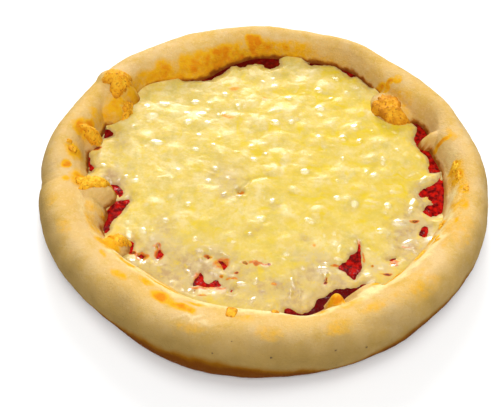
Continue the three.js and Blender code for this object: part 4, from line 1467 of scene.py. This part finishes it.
# %% The cheese's colours
PALE_CHEESE = (0.71, 0.575, 0.24, 1)
CREAMY_CHEESE = (0.66, 0.49, 0.11, 1)
OILY_CHEESE = (0.68, 0.49, 0.012, 1)
THIN_AND_LIP_SHADE_CHEESE = (0.48, 0.34, 0.125, 1)
DULL_CHEESE = (0.55, 0.425, 0.095, 1)
VEIL_CHEESE = (0.57, 0.44, 0.225, 1)
MURKY_CHEESE = (0.39, 0.235, 0.11, 1)
PAINTED_LUMP_HIGHLIGHT = (0.84, 0.74, 0.42, 1)
TOASTED_CHEESE = (0.72, 0.30, 0.02, 1)
ORANGE_STAIN = (0.60, 0.15, 0.004, 1)
DARK_STAIN = (0.15, 0.012, 0.004, 1)
cheese_material, tree, shader = new_material("melted_cheese")
slow = ranged(tree, noise_value(tree, 110.0, 4.0, 0.65), 0.38, 0.6)
colour = tint(tree, PALE_CHEESE, CREAMY_CHEESE, slow, 420.0, 0.7)
dull = ranged(tree, noise_value(tree, 90.0, 5.0, 0.7), 0.47, 0.66, 0.0, 0.85)
colour = tint(tree, colour, DULL_CHEESE, dull, 300.0, 0.4)
# painted highlight: the tops of the firm lumps are painted paler
colour = tint(tree, colour, PAINTED_LUMP_HIGHLIGHT, ranged(tree, mark(tree, "pale"), 0.1, 1.0, 0.0, 0.7), 500.0, 0.4)
# thin cheese tinted by the sauce, and along torn edges painted shade on the lip
colour = tint(tree, colour, THIN_AND_LIP_SHADE_CHEESE, ranged(tree, mark(tree, "thin_and_lip_shade"), 0.1, 0.8, 0.0, 0.95), 190.0, 1.3)
# fat, and in the hollows also painted shade
colour = tint(tree, colour, OILY_CHEESE, ranged(tree, mark(tree, "oil_and_hollow_shade"), 0.15, 0.9, 0.0, 0.88), 300.0, 0.5)
colour = tint(tree, colour, VEIL_CHEESE, ranged(tree, mark(tree, "veil"), 0.1, 0.9, 0.0, 0.85), 240.0, 1.0)
murk = ranged(tree, noise_value(tree, 170.0, 4.0, 0.65), 0.48, 0.63, 0.0, 0.9)
murk = reckon(tree, "MULTIPLY", murk, mark(tree, "thin_and_lip_shade"))
colour = tint(tree, colour, MURKY_CHEESE, murk, 420.0, 0.5)
colour = tint(tree, colour, TOASTED_CHEESE, ranged(tree, mark(tree, "toasted"), 0.2, 0.8, 0.0, 0.9), 500.0, 0.6)
stain = mark(tree, "stain")
colour = tint(tree, colour, ORANGE_STAIN, ranged(tree, stain, 0.16, 0.42, 0.0, 0.95), 700.0, 0.7)
colour = tint(tree, colour, DARK_STAIN, ranged(tree, stain, 0.5, 0.8, 0.0, 0.95), 900.0, 0.5)
for size, least, most in ((190.0, 0.52, 0.6), (480.0, 0.6, 0.7)):
    flecks = ranged(tree, noise_value(tree, size, 4.0, 0.6), least, 0.72, 0.0, most)
    colour = tint(tree, colour, OILY_CHEESE, flecks, 300.0, 0.3)
tree.links.new(colour, shader.inputs["Base Color"])
print("the cheese's colours take", len(tree.nodes), "nodes")

# %% The cheese's gloss
tree.links.new(ranged(tree, mark(tree, "thin_and_lip_shade"), 0.2, 0.8, 0.36, 0.6), shader.inputs["Roughness"])
shader.inputs["Specular IOR Level"].default_value = 0.15
shader.inputs["Subsurface Weight"].default_value = 0.5
shader.inputs["Subsurface Radius"].default_value = (0.9, 0.7, 0.4)
shader.inputs["Subsurface Scale"].default_value = 0.0009
tree.links.new(ranged(tree, mark(tree, "pale"), 0.0, 0.3, 0.08, 1.0), shader.inputs["Coat Weight"])
shader.inputs["Coat Roughness"].default_value = 0.23
shader.inputs["Coat IOR"].default_value = 1.75
rough_skin = bump(tree, noise_value(tree, 380.0, 2.0, 0.5), 0.34, 0.0006)
greasy_skin = bump(tree, noise_value(tree, 1100.0, 2.0, 0.5), 0.12, 0.0003, rough_skin)
tree.links.new(greasy_skin, shader.inputs["Normal"])
wear(cheese, cheese_material)
print("the cheese's finish has", len(tree.nodes), "nodes")

# %% [markdown]
# ### The finish of browned cheese and herb
#
# Cheese that has baked dry is golden, with brown blotches and dark specks where it is thinnest, and it is half
# dull. The same blotch and grain groups serve, at a finer size. The herb is a plain dark green-brown.

# %% The browned cheese's finish
LIGHT_BROWNED = (0.92, 0.58, 0.035, 1)
MID_BROWNED = (0.82, 0.34, 0.008, 1)
DARK_BROWNED = (0.33, 0.09, 0.006, 1)
browned_material, tree, shader = new_material("browned_cheese")
brown = mark(tree, "brown")
colour = tint(tree, LIGHT_BROWNED, MID_BROWNED, ranged(tree, brown, 0.3, 0.9), 500.0, 0.7)
blotches = ranged(tree, noise_value(tree, 430.0, 3.0, 0.6), 0.48, 0.6, 0.0, 0.85)
colour = tint(tree, colour, MID_BROWNED, blotches, 900.0, 0.4)
crisped = ranged(tree, noise_value(tree, 640.0, 3.0, 0.6), 0.55, 0.66, 0.0, 0.7)
colour = tint(tree, colour, DARK_BROWNED, crisped, 900.0, 0.4)
colour = tint(tree, colour, DARK_BROWNED, ranged(tree, brown, 0.7, 1.2, 0.0, 0.8), 700.0, 0.7)
grain = shader_node(tree, "ShaderNodeGroup", {"Size": 650.0, "Specks": 1.0}, node_tree=grain_group)
colour = tint(tree, colour, DARK_BROWNED, grain.outputs["Specks"], 300.0, 0.0)
tree.links.new(colour, shader.inputs["Base Color"])
shader.inputs["Roughness"].default_value = 0.6
shader.inputs["Specular IOR Level"].default_value = 0.15
tree.links.new(bump(tree, grain.outputs["Height"], 0.9, 0.0008), shader.inputs["Normal"])
for scrap in scraps:
    wear(scrap, browned_material)
print(len(scraps), "scraps and crumbs wear the browned finish")

# %% The herb's finish
DARK_HERB = (0.08, 0.045, 0.012, 1)
LIGHT_HERB = (0.16, 0.09, 0.03, 1)
herb_material, tree, shader = new_material("dried_herb")
colour = tint(tree, DARK_HERB, LIGHT_HERB, noise_value(tree, 900.0), 900.0, 0.6)
tree.links.new(colour, shader.inputs["Base Color"])
shader.inputs["Roughness"].default_value = 0.8
for flake in flakes:
    wear(flake, herb_material)
print(len(flakes), "herb flakes")

# %% The floor's finish
floor_material, tree, shader = new_material("floor")
shader.inputs["Base Color"].default_value = (0.9, 0.9, 0.9, 1)
shader.inputs["Roughness"].default_value = 0.9
wear(floor, floor_material)
print("finishes:", ", ".join(material.name for material in bpy.data.materials))
